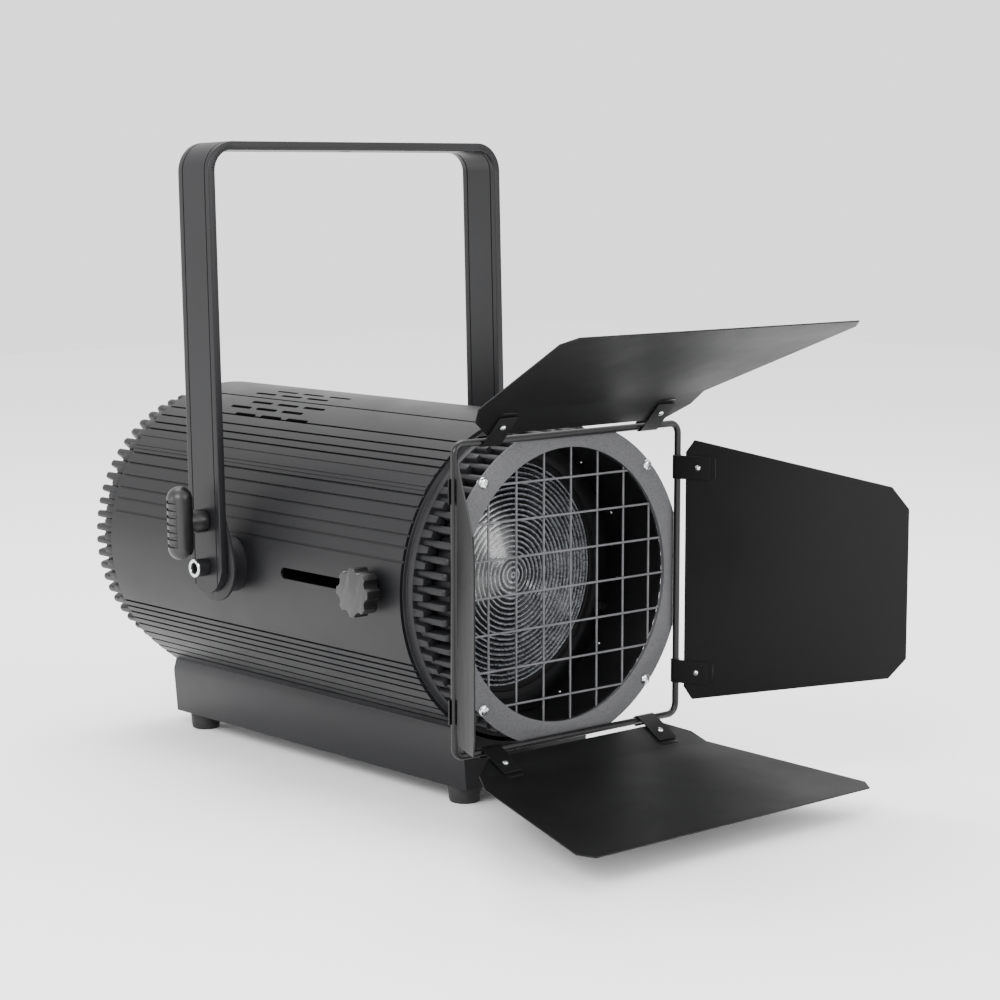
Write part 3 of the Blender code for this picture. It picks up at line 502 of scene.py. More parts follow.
def makeStudio():
    studio = {"position": (-1.3755, -1.7119, 0.5066), "azimuth": -41.82, "elevation": 7.58,
            "focalMm": 89.4, "floorSize": 9.0, "background": "#ffffff"}
    a, e = radians(studio["azimuth"]), radians(studio["elevation"])
    ahead = Vector((-sin(a) * cos(e), cos(a) * cos(e), -sin(e)))
    camera = bpy.data.objects.new("camera", bpy.data.cameras.new("camera"))
    bpy.context.scene.collection.objects.link(camera)
    camera.data.lens = studio["focalMm"]
    camera.data.sensor_width = 36
    camera.data.clip_end = 60
    camera.location = studio["position"]
    camera.rotation_euler = ahead.to_track_quat("-Z", "Y").to_euler()
    bpy.context.scene.camera = camera

    deselectAll()
    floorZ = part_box("foot_rear_left")[0][2]
    bpy.ops.mesh.primitive_plane_add(size=studio["floorSize"], location=(0, 0, floorZ))
    floor = named("studioFloor")
    material, tree, shader, place = startMaterial("paleStudioPaper")
    fibre = addNode(tree, "ShaderNodeTexNoise", {"Vector": place, "Scale": 60, "Detail": 3})
    setRoughness(tree, shader, fibre.outputs["Fac"], (0.85, 0.95))
    shader.inputs["Base Color"].default_value = colour(studio["background"])
    shader.inputs["Specular IOR Level"].default_value = 0.2
    floor.data.materials.append(material)

    world = bpy.data.worlds.new("studioWorld")
    bpy.context.scene.world = world
    world.use_nodes = True
    back = world.node_tree.nodes["Background"]
    back.inputs["Color"].default_value = colour("#ffffff")
    back.inputs["Strength"].default_value = 1.8
    lamps = {
        # name: place, aim, width, height, watts
        "keySoftbox": ((-2.4, -1.6, 1.9), (0, 0, 0.15), 1.6, 1.2, 95),
        "topSoftbox": ((0.3, 0.5, 2.6), (0, 0, 0.2), 2.0, 1.4, 70),
        "frontSoftbox": ((0.9, -2.9, 1.2), (0.1, -0.3, 0.15), 1.2, 1.2, 40),
        "lowFill": ((-2.8, 0.9, 0.4), (0, 0, 0.1), 1.0, 1.6, 25),
    }
    for name, (place, aim, width, height, watts) in lamps.items():
        light = bpy.data.lights.new(name, "AREA")
        light.shape = "RECTANGLE"
        light.size = width
        light.size_y = height
        light.energy = watts
        lamp = bpy.data.objects.new(name, light)
        bpy.context.scene.collection.objects.link(lamp)
        lamp.location = place
        lamp.rotation_euler = (Vector(aim) - Vector(place)).to_track_quat("-Z", "Y").to_euler()
    print("studio ready")


makeStudio()


# Barrel.

def roundedSlot(name, length, height, depth):
    # A cutter along Y with round ends, thick in Z.
    slot = cube(name, (-height / 2, -length / 2, -depth / 2), (height / 2, length / 2, depth / 2))
    pick(slot, lambda middle, way: abs(way.z) > depth / 2, "EDGE")
    bpy.ops.mesh.bevel(offset=height * 0.49, segments=6, affect="EDGES")
    editEnd()
    return slot


def makeBarrel():
    barrel = {
        "sides": 288, "wallMm": 2.6, "grooveMm": 2.0, "grooveDeepMm": 1.8, "ridgeMm": 0.5,
        "grooves": (73, 59.3, 54.1, 49.9, 46.5, 34.9, 30.4, 25.3, 20.4, 16.2, 11.3,
            -25.1, -27.7, -30.4, -33.4, -36.5, -41.0, -45.5, -50.0, -54.5),
        "ridges": (43.2, 38.7, 37.2),
        "ventLengthMm": 30, "ventHeightMm": 3.9, "ventPitchMm": 38, "ventBackMm": 275,
        "ventRows": (60.0, 64.5, 69.0, 77.0, 81.5), "ventColumns": 3,
        "slotLeadMm": 4.3, "slotBackMm": 209, "slotHighMm": 9.5, "boltHoleMm": 5.3,
    }
    outer, inner = shellRadius, shellRadius - barrel["wallMm"] * mm
    front, back = shellLow[1], shellHigh[1]
    profile = [(outer, front), (outer, back), (inner, back), (inner, front), (outer, front)]
    piece = turned("barrelJacket", profile, barrel["sides"], (0, 0, axisZ), "Y", closed=True)
    wide, deep = barrel["grooveMm"] * mm / 2, barrel["grooveDeepMm"] * mm

    def strips(name, angles, low, high, reach):
        # One long bar for each angle on both sides, lying on the barrel's surface.
        bars = []
        for angle in angles:
            for side in (-1, 1):
                bar = cube(name, (-wide, front - reach, low), (wide, back + reach, high))
                turn = Matrix.Rotation(side * radians(90 - angle), 4, "Y")
                bars.append(moved(bar, Matrix.Translation((0, 0, axisZ)) @ turn))
        return joined(name, bars)

    cut(piece, [strips("grooveTool", barrel["grooves"], outer - deep, outer + deep, 1 * mm)])
    ridges = strips("barrelRidges", barrel["ridges"], outer - 0.5 * mm, outer + barrel["ridgeMm"] * mm, 0)
    tools = []
    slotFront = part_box("focus_stud")[0][1] - barrel["slotLeadMm"] * mm
    slotBack = wireY + barrel["slotBackMm"] * mm
    slot = roundedSlot("slotTool", slotBack - slotFront, barrel["slotHighMm"] * mm, 20 * mm)
    slot = moved(slot, Matrix.Translation((-shellRadius, (slotFront + slotBack) / 2, axisZ))
            @ Matrix.Rotation(pi / 2, 4, "Y"))
    tools.append(slot)
    vents = []
    for side in (-1, 1):
        for row, angle in enumerate(barrel["ventRows"]):
            for column in range(barrel["ventColumns"]):
                step = barrel["ventPitchMm"] * (column + (row % 2) / 2)
                along = wireY + (barrel["ventBackMm"] + step) * mm
                vent = roundedSlot("ventTool", barrel["ventLengthMm"] * mm, barrel["ventHeightMm"] * mm,
                        9 * mm)
                turn = Matrix.Rotation(side * radians(90 - angle), 4, "Y")
                spot = Matrix.Translation((0, along, axisZ)) @ turn
                vents.append(moved(vent, spot @ Matrix.Translation((0, 0, shellRadius))))
    tools.append(joined("ventTools", vents))
    boltLow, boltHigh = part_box("pivot_bolt_left")
    boltY, boltZ = middleOf(boltLow, boltHigh)[1:]
    tools.append(cylinder("boltTool", barrel["boltHoleMm"] * mm, 3 * shellRadius, (0, boltY, boltZ), "X", 32))
    cut(piece, tools)
    piece = joined("barrelJacket", [piece, ridges])
    finishPiece(piece, barrelPaint, "housing", ["shell"], 28)
    print("barrel done")


makeBarrel()


# End castings.

def makeCasting(name, node, joint, outward):
    # A plain band against the barrel, a crown of tabs, and thin fins that show between them.
    casting = {
        "bandRadiusMm": 131, "boreMm": 115.2, "bandMm": 8.6, "fitMm": 2.9, "count": 64,
        "tabRadiusMm": (121, 131), "tabReachMm": 21.2, "tabWidthMm": 7.6, "tabTipMm": 5.6,
        "finRadiusMm": (114.5, 127.2), "finReachMm": 42.6, "finThickMm": 6.4, "rootMm": 117.5,
    }
    y0 = joint
    along = lambda reach: y0 + outward * reach * mm
    r = casting["bandRadiusMm"] * mm
    bore = casting["boreMm"] * mm
    spigot = shellRadius - casting["fitMm"] * mm
    profile = [(spigot, -12), (spigot, 0.4), (r, 1.1), (r, casting["bandMm"]),
            (r - 6 * mm, casting["bandMm"] + 0.2), (r - 7 * mm, 12.6), (bore, 12.6), (bore, -12),
            (spigot, -12)]
    band = turned("castBand", [(radius, outward * reach * mm) for radius, reach in profile], 256,
            (0, y0, axisZ), "Y", closed=True)
    tidyMesh(band)
    softenEdges(band, 0.5 * mm, 2, 50)

    low, high = (v * mm for v in casting["tabRadiusMm"])
    root, tip = casting["bandMm"] - 1, casting["tabReachMm"]
    half = casting["tabWidthMm"] * mm / 2
    ends = sorted((along(root), along(tip)))
    tab = cube("tab", (-half, ends[0], axisZ + low), (half, ends[1], axisZ + high))
    narrow = casting["tabTipMm"] / casting["tabWidthMm"]
    pick(tab, lambda middle, normal: normal.y * outward > 0.5)
    bpy.ops.transform.resize(value=(narrow, 1, 1), center_override=(0, along(tip), axisZ + high))
    editEnd()
    pick(tab, lambda middle, way: middle.z > axisZ + high - 0.1 * mm or (middle.y - along(tip)) * outward
         > -0.1 * mm, "EDGE")
    bpy.ops.mesh.bevel(offset=1.3 * mm, segments=2, affect="EDGES")
    editEnd()
    tabs = aroundAxis(tab, "tabs", casting["count"])

    low, high = (v * mm for v in casting["finRadiusMm"])
    half = casting["finThickMm"] * mm / 2
    ends = sorted((along(casting["bandMm"] - 1), along(casting["finReachMm"])))
    fin = cube("fin", (-half, ends[0], axisZ + low), (half, ends[1], axisZ + high))
    pick(fin, lambda middle, way: (middle.y - along(casting["finReachMm"])) * outward > -0.1 * mm
         and middle.z > axisZ + high - 0.1 * mm, "EDGE")
    bpy.ops.mesh.bevel(offset=4.5 * mm, segments=3, affect="EDGES")
    editEnd()
    pick(fin, lambda middle, way: middle.z > axisZ + low + 1 * mm and abs(abs(middle.x) - half) < 0.1 * mm,
         "EDGE")
    bpy.ops.mesh.bevel(offset=2.2 * mm, segments=2, affect="EDGES")
    editEnd()
    fins = aroundAxis(fin, "fins", casting["count"], pi / casting["count"])

    ringDepth = sorted((along(14), along(casting["finReachMm"] - 4)))
    root = casting["rootMm"] * mm
    near, far = ringDepth
    inner = turned("finRoot", [(root, near), (root, far), (bore, far), (bore, near), (root, near)], 192,
        (0, 0, axisZ), "Y", closed=True)
    tidyMesh(inner)
    piece = joined(name, [band, tabs, fins, inner])
    finishPiece(piece, castEnamel, "housing", [node], 40)
    print(name, "done")


makeCasting("frontCasting", "front_casting", shellLow[1], -1)
makeCasting("rearCasting", "rear_casting", shellHigh[1], 1)


# Snout: bezel, screws, door frame and grille.

def makeBezel():
    bezel = {"sides": 256, "edgeMm": 0.35, "holeRadiusMm": 113, "radiusMm": 133.2}
    low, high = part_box("bezel_plate")
    flat = high[0]
    plate = cylinder("bezelPlate", bezel["radiusMm"] * mm, high[1] - low[1],
            (0, (low[1] + high[1]) / 2, axisZ), "Y", bezel["sides"])
    block = cube("flatTool", (-flat, low[1] - 0.01, axisZ - flat), (flat, high[1] + 0.01, axisZ + flat))
    cut(plate, [block], "INTERSECT")
    hole = cylinder("holeTool", bezel["holeRadiusMm"] * mm, 0.03, (0, low[1], axisZ), "Y", bezel["sides"])
    cut(plate, [hole])
    softenEdges(plate, bezel["edgeMm"] * mm, 2, 50)
    finishPiece(plate, greyPowder, "housing", ["bezel_plate"], 30)


def makeScrews():
    # Pan heads with a cross recess, one modelled and three copied.
    screw = {"headMm": 4.8, "riseMm": 2.3, "shankMm": 2.0, "lengthMm": 6.0, "crossMm": (1.1, 5.2)}
    r, rise = screw["headMm"] * mm, screw["riseMm"] * mm
    profile = [(0, -rise), (r * 0.35, -rise * 0.97), (r * 0.65, -rise * 0.84), (r * 0.88, -rise * 0.55),
            (r, -rise * 0.15), (r, 0), (screw["shankMm"] * mm, 0),
            (screw["shankMm"] * mm, screw["lengthMm"] * mm), (0, screw["lengthMm"] * mm)]
    head = turned("bezelScrew", profile, 40, axis="Y")
    slim, long = (v * mm / 2 for v in screw["crossMm"])
    cross = [cube("crossTool", (-slim, -0.01, -long), (slim, -rise * 0.45, long)),
            cube("crossTool", (-long, -0.01, -slim), (long, -rise * 0.45, slim))]
    cut(head, cross)
    for number in range(1, 5):
        low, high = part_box(f"bezel_screw_{number}")
        face = low[1] + 2.4 * mm
        twin = copyOf(head, f"bezelScrew{number}")
        spin = Matrix.Rotation(radians(20 + 67 * number), 4, "Y")
        x, _, z = middleOf(low, high)
        place = Matrix.Translation((x, face, z))
        moved(twin, place @ spin)
        finishPiece(twin, brightZinc, "housing", [f"bezel_screw_{number}"], 40)
    bpy.data.objects.remove(head)


def makeDoorFrame():
    # A square loop of wire with bent corners, drawn as a path and then given its thickness.
    loop = {"bendMm": 9, "wireMm": 2.9}
    side = wireHigh[0] - wireLow[0] - (wireHigh[1] - wireLow[1])
    deselectAll()
    bpy.ops.mesh.primitive_plane_add(size=side, location=(0, wireY, axisZ), rotation=(pi / 2, 0, 0))
    wire = applyPlace(named("doorFrameWire"))
    activate(wire)
    bpy.ops.object.mode_set(mode="EDIT")
    bpy.ops.mesh.select_mode(type="VERT")
    bpy.ops.mesh.select_all(action="SELECT")
    bpy.ops.mesh.bevel(offset=loop["bendMm"] * mm, segments=9, affect="VERTICES")
    bpy.ops.mesh.select_all(action="SELECT")
    bpy.ops.mesh.delete(type="ONLY_FACE")
    editEnd()
    wire = tube(wire, loop["wireMm"] * mm, 6)
    finishPiece(wire, wireEnamel, "housing", ["door_frame"], 60)


def tube(path, radius, resolution):
    # Turns a path of edges into round wire.
    activate(path)
    bpy.ops.object.convert(target="CURVE")
    path.data.bevel_depth = radius
    path.data.bevel_resolution = resolution
    path.data.use_fill_caps = True
    bpy.ops.object.convert(target="MESH")
    return tidyMesh(bpy.context.object, 0.000005)


def makeGrille():
    grille = {"wireMm": 0.95, "rimMm": 1.3, "pitchMm": 30, "offsetMm": (7.5, -2.0), "radiusMm": 113.5}
    low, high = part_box("grille")
    middle = (low[1] + high[1]) / 2
    reach = grille["radiusMm"] * mm
    pitch = grille["pitchMm"] * mm
    wires = []
    for number in range(-4, 5):
        across = grille["offsetMm"][0] * mm + number * pitch
        if abs(across) < reach - 4 * mm:
            length = 2 * sqrt(reach ** 2 - across ** 2)
            wires.append(cylinder("meshWire", grille["wireMm"] * mm, length,
                    (across, middle + 0.4 * mm, axisZ), "Z", 12))
        up = grille["offsetMm"][1] * mm + number * pitch
        if abs(up) < reach - 4 * mm:
            length = 2 * sqrt(reach ** 2 - up ** 2)
            wires.append(cylinder("meshWire", grille["wireMm"] * mm, length,
                    (0, middle - 0.9 * mm, axisZ + up), "X", 12))
    rim, slim = high[0], grille["rimMm"] * mm
    wires.append(turned("meshRim", [
        (rim, low[1] + 0.2 * mm), (rim, high[1] - 0.2 * mm), (rim - 0.3 * mm, high[1]),
        (rim - 3 * slim, high[1]), (rim - 3.4 * slim, middle), (rim - 3 * slim, low[1]),
        (rim - 0.3 * mm, low[1]), (rim, low[1] + 0.2 * mm)], 192, (0, 0, axisZ), "Y", closed=True))
    piece = joined("grilleMesh", wires)
    finishPiece(piece, meshEnamel, "housing", ["grille"], 60)


makeBezel()
makeScrews()
makeDoorFrame()
makeGrille()
print("snout done")


# Lens, its carriage and the snout's lining.

def makeTunnel():
    # The dark lining between the grille and the lens, with a row of rivets round it.
    tunnel = {"outerMm": 114.6, "wallMm": 1.6, "flangeMm": 2.5, "rivets": 12, "rivetMm": 1.7,
            "lipMm": 0.9}
    low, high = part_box("lens_tunnel")
    outer, inner = tunnel["outerMm"] * mm, (tunnel["outerMm"] - tunnel["wallMm"]) * mm
    back = high[1] - tunnel["flangeMm"] * mm
    flange = high[0]
    profile = [(flange, high[1]), (flange, back), (outer, back), (outer, low[1] - tunnel["lipMm"] * mm),
            (inner, low[1] - tunnel["lipMm"] * mm), (inner, high[1]), (flange, high[1])]
    sleeve = turned("snoutLining", profile, 192, (0, 0, axisZ), "Y", closed=True)
    softenEdges(sleeve, 0.4 * mm, 2, 50)
    r = tunnel["rivetMm"] * mm
    rivet = turned("rivet", [(0, 0.9 * mm), (r * 0.5, 0.8 * mm), (r * 0.85, 0.5 * mm), (r, 0), (r, -0.4 * mm),
            (0, -0.4 * mm)], 12)
    flip = Matrix.Translation((0, high[1] - 9 * mm, axisZ + inner)) @ Matrix.Rotation(pi, 4, "X")
    moved(rivet, flip)
    rivets = aroundAxis(rivet, "liningRivets", tunnel["rivets"], radians(7))
    finishPiece(sleeve, linerPaint, "housing", ["lens_tunnel"], 35)
    finishPiece(rivets, brightZinc, "housing", ["lens_tunnel"], 50)


def makeLens():
    # A plano-convex lens collapsed into steps: each ring's face tilts a little more than the last.
    lens = {"ringMm": 4.4, "bossMm": 13.5, "riseMm": 2.6, "domeMm": 8.5, "rimMm": 94.0, "sides": 224,
            "seatMm": 5.5}
    low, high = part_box("fresnel_lens")
    radius = (high[0] - low[0]) / 2
    back = high[1]
    seat = back - lens["seatMm"] * mm
    rim = lens["rimMm"] * mm
    sphere = (rim ** 2 + (lens["domeMm"] * mm) ** 2) / (2 * lens["domeMm"] * mm)
    bulge = lambda r: seat - (sqrt(sphere ** 2 - r ** 2) - (sphere - lens["domeMm"] * mm))
    profile = [(0, back), (radius, back), (radius, seat), (rim, seat)]
    ring = lens["ringMm"] * mm
    r = rim
    while r - ring > lens["bossMm"] * mm:
        # Valley at the ring's outer edge, a slope up to its crest, then the drop to the next.
        steep = lens["riseMm"] * mm * (0.35 + 0.65 * r / rim)
        profile.append((r - 0.1 * ring, bulge(r) + steep * 0.35))
        profile.append((r - 0.55 * ring, bulge(r - 0.5 * ring) - steep * 0.15))
        profile.append((r - 0.93 * ring, bulge(r - ring) - steep * 0.35))
        r -= ring
    for share in (0.9, 0.7, 0.45, 0.2, 0):
        profile.append((r * share, bulge(r * share) - 0.9 * mm * (1 - share ** 2)))
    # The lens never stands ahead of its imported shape.
    ahead = min(along for _, along in profile)
    shift = max(0, low[1] - ahead)
    profile = [(edge, along if along >= seat else min(along + shift, seat)) for edge, along in profile]
    piece = turned("fresnelLens", profile, lens["sides"], (0, 0, axisZ), "Y")
    finishPiece(piece, lensGlass, "lens_carriage", ["fresnel_lens"], 24)


def makeCarriage():
    carriage = {"lugCount": 6, "lugMm": 3.2, "lugBackMm": 8.8, "lugCircleMm": 110.5}
    ringPiece = fromCad("lensCarriage", "lens_carriage")
    finishPiece(ringPiece, castEnamel, "lens_carriage", ["lens_carriage"], 35)
    low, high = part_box("lens_retainer")
    outer = high[0]
    inner = outer - 5 * mm
    profile = [(outer, high[1]), (outer, low[1] + 0.5 * mm), (outer - 0.7 * mm, low[1]),
            (inner + 0.7 * mm, low[1]), (inner, low[1] + 0.5 * mm), (inner, high[1]), (outer, high[1])]
    clip = turned("lensRetainer", profile, 192, (0, 0, axisZ), "Y", closed=True)
    finishPiece(clip, linerPaint, "lens_carriage", ["lens_retainer"], 35)
    r = carriage["lugMm"] * mm
    screw = turned("carriageScrew", [(0, -1.6 * mm), (r * 0.6, -1.45 * mm), (r * 0.95, -0.8 * mm), (r, 0),
            (r, 0.3 * mm), (0, 0.3 * mm)], 16, axis="Y")
    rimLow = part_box("lens_carriage")[0]
    moved(screw, Matrix.Translation((0, rimLow[1] + carriage["lugBackMm"] * mm,
        axisZ + carriage["lugCircleMm"] * mm)))
    screws = aroundAxis(screw, "carriageScrews", carriage["lugCount"], radians(15))
    finishPiece(screws, brightZinc, "lens_carriage", ["lens_carriage"], 50)


makeTunnel()
makeLens()
makeCarriage()
print("lens done")


# Yoke, its clamp plates, bolts and handle.

yokeJoint = next(j for j in frame["joints"] if j["name"] == "yoke_tilt")
pivot = Vector(yokeJoint["pos_m"])
lean = radians(1.7)
yokeHalfMm = 163.5


def yokePlace():
    return Matrix.Translation(pivot) @ Matrix.Rotation(-lean, 4, "X")


def makeYoke():
    # One bar section, drawn up the left arm, round both corners and down the right.
    yoke = {"thickMm": 7.5, "wideMm": 45, "riseMm": 360.5, "cornerMm": 25.5,
            "groovesMm": (-16.8, 15.2), "grooveMm": 1.3, "grooveDeepMm": 1.3, "edgeMm": 1.5, "steps": 14}
    thick, wide = yoke["thickMm"] * mm, yoke["wideMm"] * mm
    half, rise, corner = yokeHalfMm * mm, yoke["riseMm"] * mm, yoke["cornerMm"] * mm
    low = -wide
    deselectAll()
    bpy.ops.mesh.primitive_plane_add(size=1, location=(-half + thick / 2, 0, low))
    bar = named("yokeBar")
    bar.scale = (thick, wide, 1)
    applyPlace(bar)
    cuts = []
    for groove in yoke["groovesMm"]:
        cuts += [(groove + side * yoke["grooveMm"] / 2) * mm for side in (-1, 1)]
    for along in cuts:
        editAll(bar)
        bpy.ops.mesh.bisect(plane_co=(0, along, 0), plane_no=(0, 1, 0))
        editEnd()
    # Each groove's floor is set in by squeezing its strip towards the bar's middle.
    pick(bar, lambda middle, way: abs(way.x) < thick / 2 and any(
        abs(middle.y - g * mm) < 0.1 * mm for g in yoke["groovesMm"]), "EDGE")
    bpy.ops.mesh.subdivide(number_cuts=2)
    editEnd()
    deep = yoke["grooveDeepMm"] * mm

    def floorPoint(point, normal):
        return any(0.02 * mm < yoke["grooveMm"] * mm / 2 - abs(point.y - g * mm) for g in yoke["groovesMm"])

    pick(bar, floorPoint, "VERT")
    squeeze = (thick - 2 * deep) / thick
    bpy.ops.transform.resize(value=(squeeze, 1, 1), center_override=(-half + thick / 2, 0, low))
    editEnd()
    activate(bar)
    bpy.ops.object.mode_set(mode="EDIT")
    bpy.ops.mesh.select_mode(type="FACE")
    bpy.ops.mesh.select_all(action="SELECT")
    bpy.ops.mesh.extrude_region_move(TRANSFORM_OT_translate={"value": (0, 0, rise - corner - low)})
    bpy.ops.mesh.spin(steps=yoke["steps"], angle=pi / 2, center=(-half + corner, 0, rise - corner),
            axis=(0, -1, 0))
    bpy.ops.mesh.extrude_region_move(TRANSFORM_OT_translate={"value": (2 * (half - corner), 0, 0)})
    bpy.ops.mesh.spin(steps=yoke["steps"], angle=pi / 2, center=(half - corner, 0, rise - corner),
            axis=(0, -1, 0))
    bpy.ops.mesh.extrude_region_move(TRANSFORM_OT_translate={"value": (0, 0, low - (rise - corner))})
    editEnd()
    tidyMesh(bar)
    # Round the two long corners of the bar all the way along.
    pick(bar, lambda middle, way: abs(abs(middle.y) - wide / 2) < 0.05 * mm and abs(way.y) < 0.01 * mm
         and way.length > 0.5 * mm and not (abs(way.z) < 0.01 * mm and abs(middle.z - low) < 0.1 * mm),
         "EDGE")
    bpy.ops.mesh.bevel(offset=yoke["edgeMm"] * mm, segments=3, affect="EDGES")
    editEnd()
    stay = cube("armTool", (-1, -wide, 0), (1, wide, 1))
    ends = cylinder("armTool", wide / 2 - 0.02 * mm, 2, axis="X", sides=64)
    cut(stay, [ends], "UNION")
    cut(bar, [stay], "INTERSECT")
    tools = [cylinder("pivotTool", 5.3 * mm, 1, axis="X", sides=32),
            cylinder("stemTool", 4.3 * mm, 0.03, (-half, 0, 0.040), "X", 24),
            cylinder("clampTool", 6.5 * mm, 0.03, (0, 0, rise), "Z", 40)]
    cut(bar, tools)
    moved(bar, yokePlace())
    finishPiece(bar, anodisedBar, "yoke", ["yoke"], 30)


def makeClampPlates():
    for side in ("left", "right"):
        plate = fromCad(f"clampPlate{side.title()}", f"clamp_plate_{side}")
        softenEdges(plate, 0.5 * mm, 2, 40)
        finishPiece(plate, castEnamel, "yoke", [f"clamp_plate_{side}"], 30)
        boss = fromCad(f"pivotBoss{side.title()}", f"pivot_boss_{side}")
        finishPiece(boss, castEnamel, "housing", [f"pivot_boss_{side}"], 35)


def makeBolts():
    # A blackened sleeve nut over each pivot bolt, its plated mouth left bright.
    bolt = {"sleeveMm": 7.7, "mouthMm": (5.0, 7.75), "mouthLengthMm": 1.6, "shankMm": 5.0}
    for side, sign in (("left", -1), ("right", 1)):
        low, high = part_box(f"pivot_bolt_{side}")
        tip = low[0] if sign < 0 else high[0]
        inner = high[0] if sign < 0 else low[0]
        y, z = middleOf(low, high)[1:]
        length = abs(tip - inner)
        sleeve, shank = bolt["sleeveMm"] * mm, bolt["shankMm"] * mm
        mouth = bolt["mouthLengthMm"] * mm
        reach = 12 * mm
        profile = [(0, -9 * mm), (4.2 * mm, -9 * mm), (4.2 * mm, -mouth), (sleeve, -mouth),
            (sleeve, -reach + 2.5 * mm),
                (sleeve - 0.2 * mm, -reach), (shank, -reach), (shank, -length), (0, -length)]
        body = turned(f"pivotSleeve{side.title()}", profile, 48, axis="X")
        ringLow, ringHigh = (v * mm for v in bolt["mouthMm"])
        lip = turned(f"pivotMouth{side.title()}", [
            (ringLow, -mouth), (ringLow, -0.4 * mm), (ringLow + 0.4 * mm, 0), (ringHigh - 0.5 * mm, 0),
            (ringHigh, -0.5 * mm), (ringHigh, -mouth), (ringLow, -mouth)], 48, axis="X", closed=True)
        place = Matrix.Translation((tip, y, z))
        if sign < 0:
            place = place @ Matrix.Rotation(pi, 4, "Z")
        for piece, look, finish in ((body, castEnamel, "cast_black_enamel"),
                (lip, brightZinc, "bright_zinc")):
            moved(piece, place)
            finishPiece(piece, look, "housing", [f"pivot_bolt_{side}"], 40)


def makeTiltHandle():
    # A capsule grip across a stem, with short finger notches down its outer half.
    handle = {"radiusMm": 11, "notches": 7, "notchPitchMm": 6.2, "notchMm": 2.7, "notchDeepMm": 3.6}
    low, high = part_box("tilt_handle")
    r = handle["radiusMm"] * mm
    length = high[2] - low[2]
    centre = Vector((low[0] + r, *middleOf(low, high)[1:]))
    profile = [(0, length / 2)]
    for step in range(1, 13):
        angle = radians(90 - 7.5 * step)
        profile.append((r * cos(angle), length / 2 - r + r * sin(angle)))
    for step in range(0, 12):
        angle = radians(7.5 * step)
        profile.append((r * cos(angle), -length / 2 + r - r * sin(angle)))
    profile.append((0, -length / 2))
    grip = turned("tiltHandleGrip", profile, 64)
    tools = []
    for number in range(handle["notches"]):
        up = (number - (handle["notches"] - 1) / 2) * handle["notchPitchMm"] * mm
        thick = handle["notchMm"] * mm / 2
        notch = cube("notchTool", (-r - 0.01, -r * 0.62, up - thick),
                (-r + handle["notchDeepMm"] * mm, r * 0.62, up + thick))
        softenEdges(notch, 0.6 * mm, 2, 50)
        tools.append(notch)
        dot = cylinder("dotTool", 0.9 * mm, 2 * r, (0, r, up), "Y", 12)
        tools.append(dot)
    cut(grip, [joined("notchTools", tools)])
    softenEdges(grip, 0.3 * mm, 1, 50)
    moved(grip, Matrix.Translation(centre) @ Matrix.Rotation(-lean, 4, "X"))
    stemEnd = -yokeHalfMm * mm - 0.6 * mm
    stemLength = stemEnd - centre.x
    stem = turned("tiltHandleStem", [(0, 0), (8.6 * mm, 0), (8.6 * mm, stemLength * 0.5),
            (10 * mm, stemLength * 0.62), (10 * mm, stemLength - 1 * mm),
            (9.2 * mm, stemLength), (4 * mm, stemLength),
            (4 * mm, high[0] - centre.x), (0, high[0] - centre.x)], 48,
            tuple(centre), "X")
    piece = joined("tiltHandle", [grip, stem])
    finishPiece(piece, handleRubber, "tilt_handle", ["tilt_handle"], 35)


makeYoke()
makeClampPlates()
makeBolts()
makeTiltHandle()
print("yoke done")


# Focusing knob.

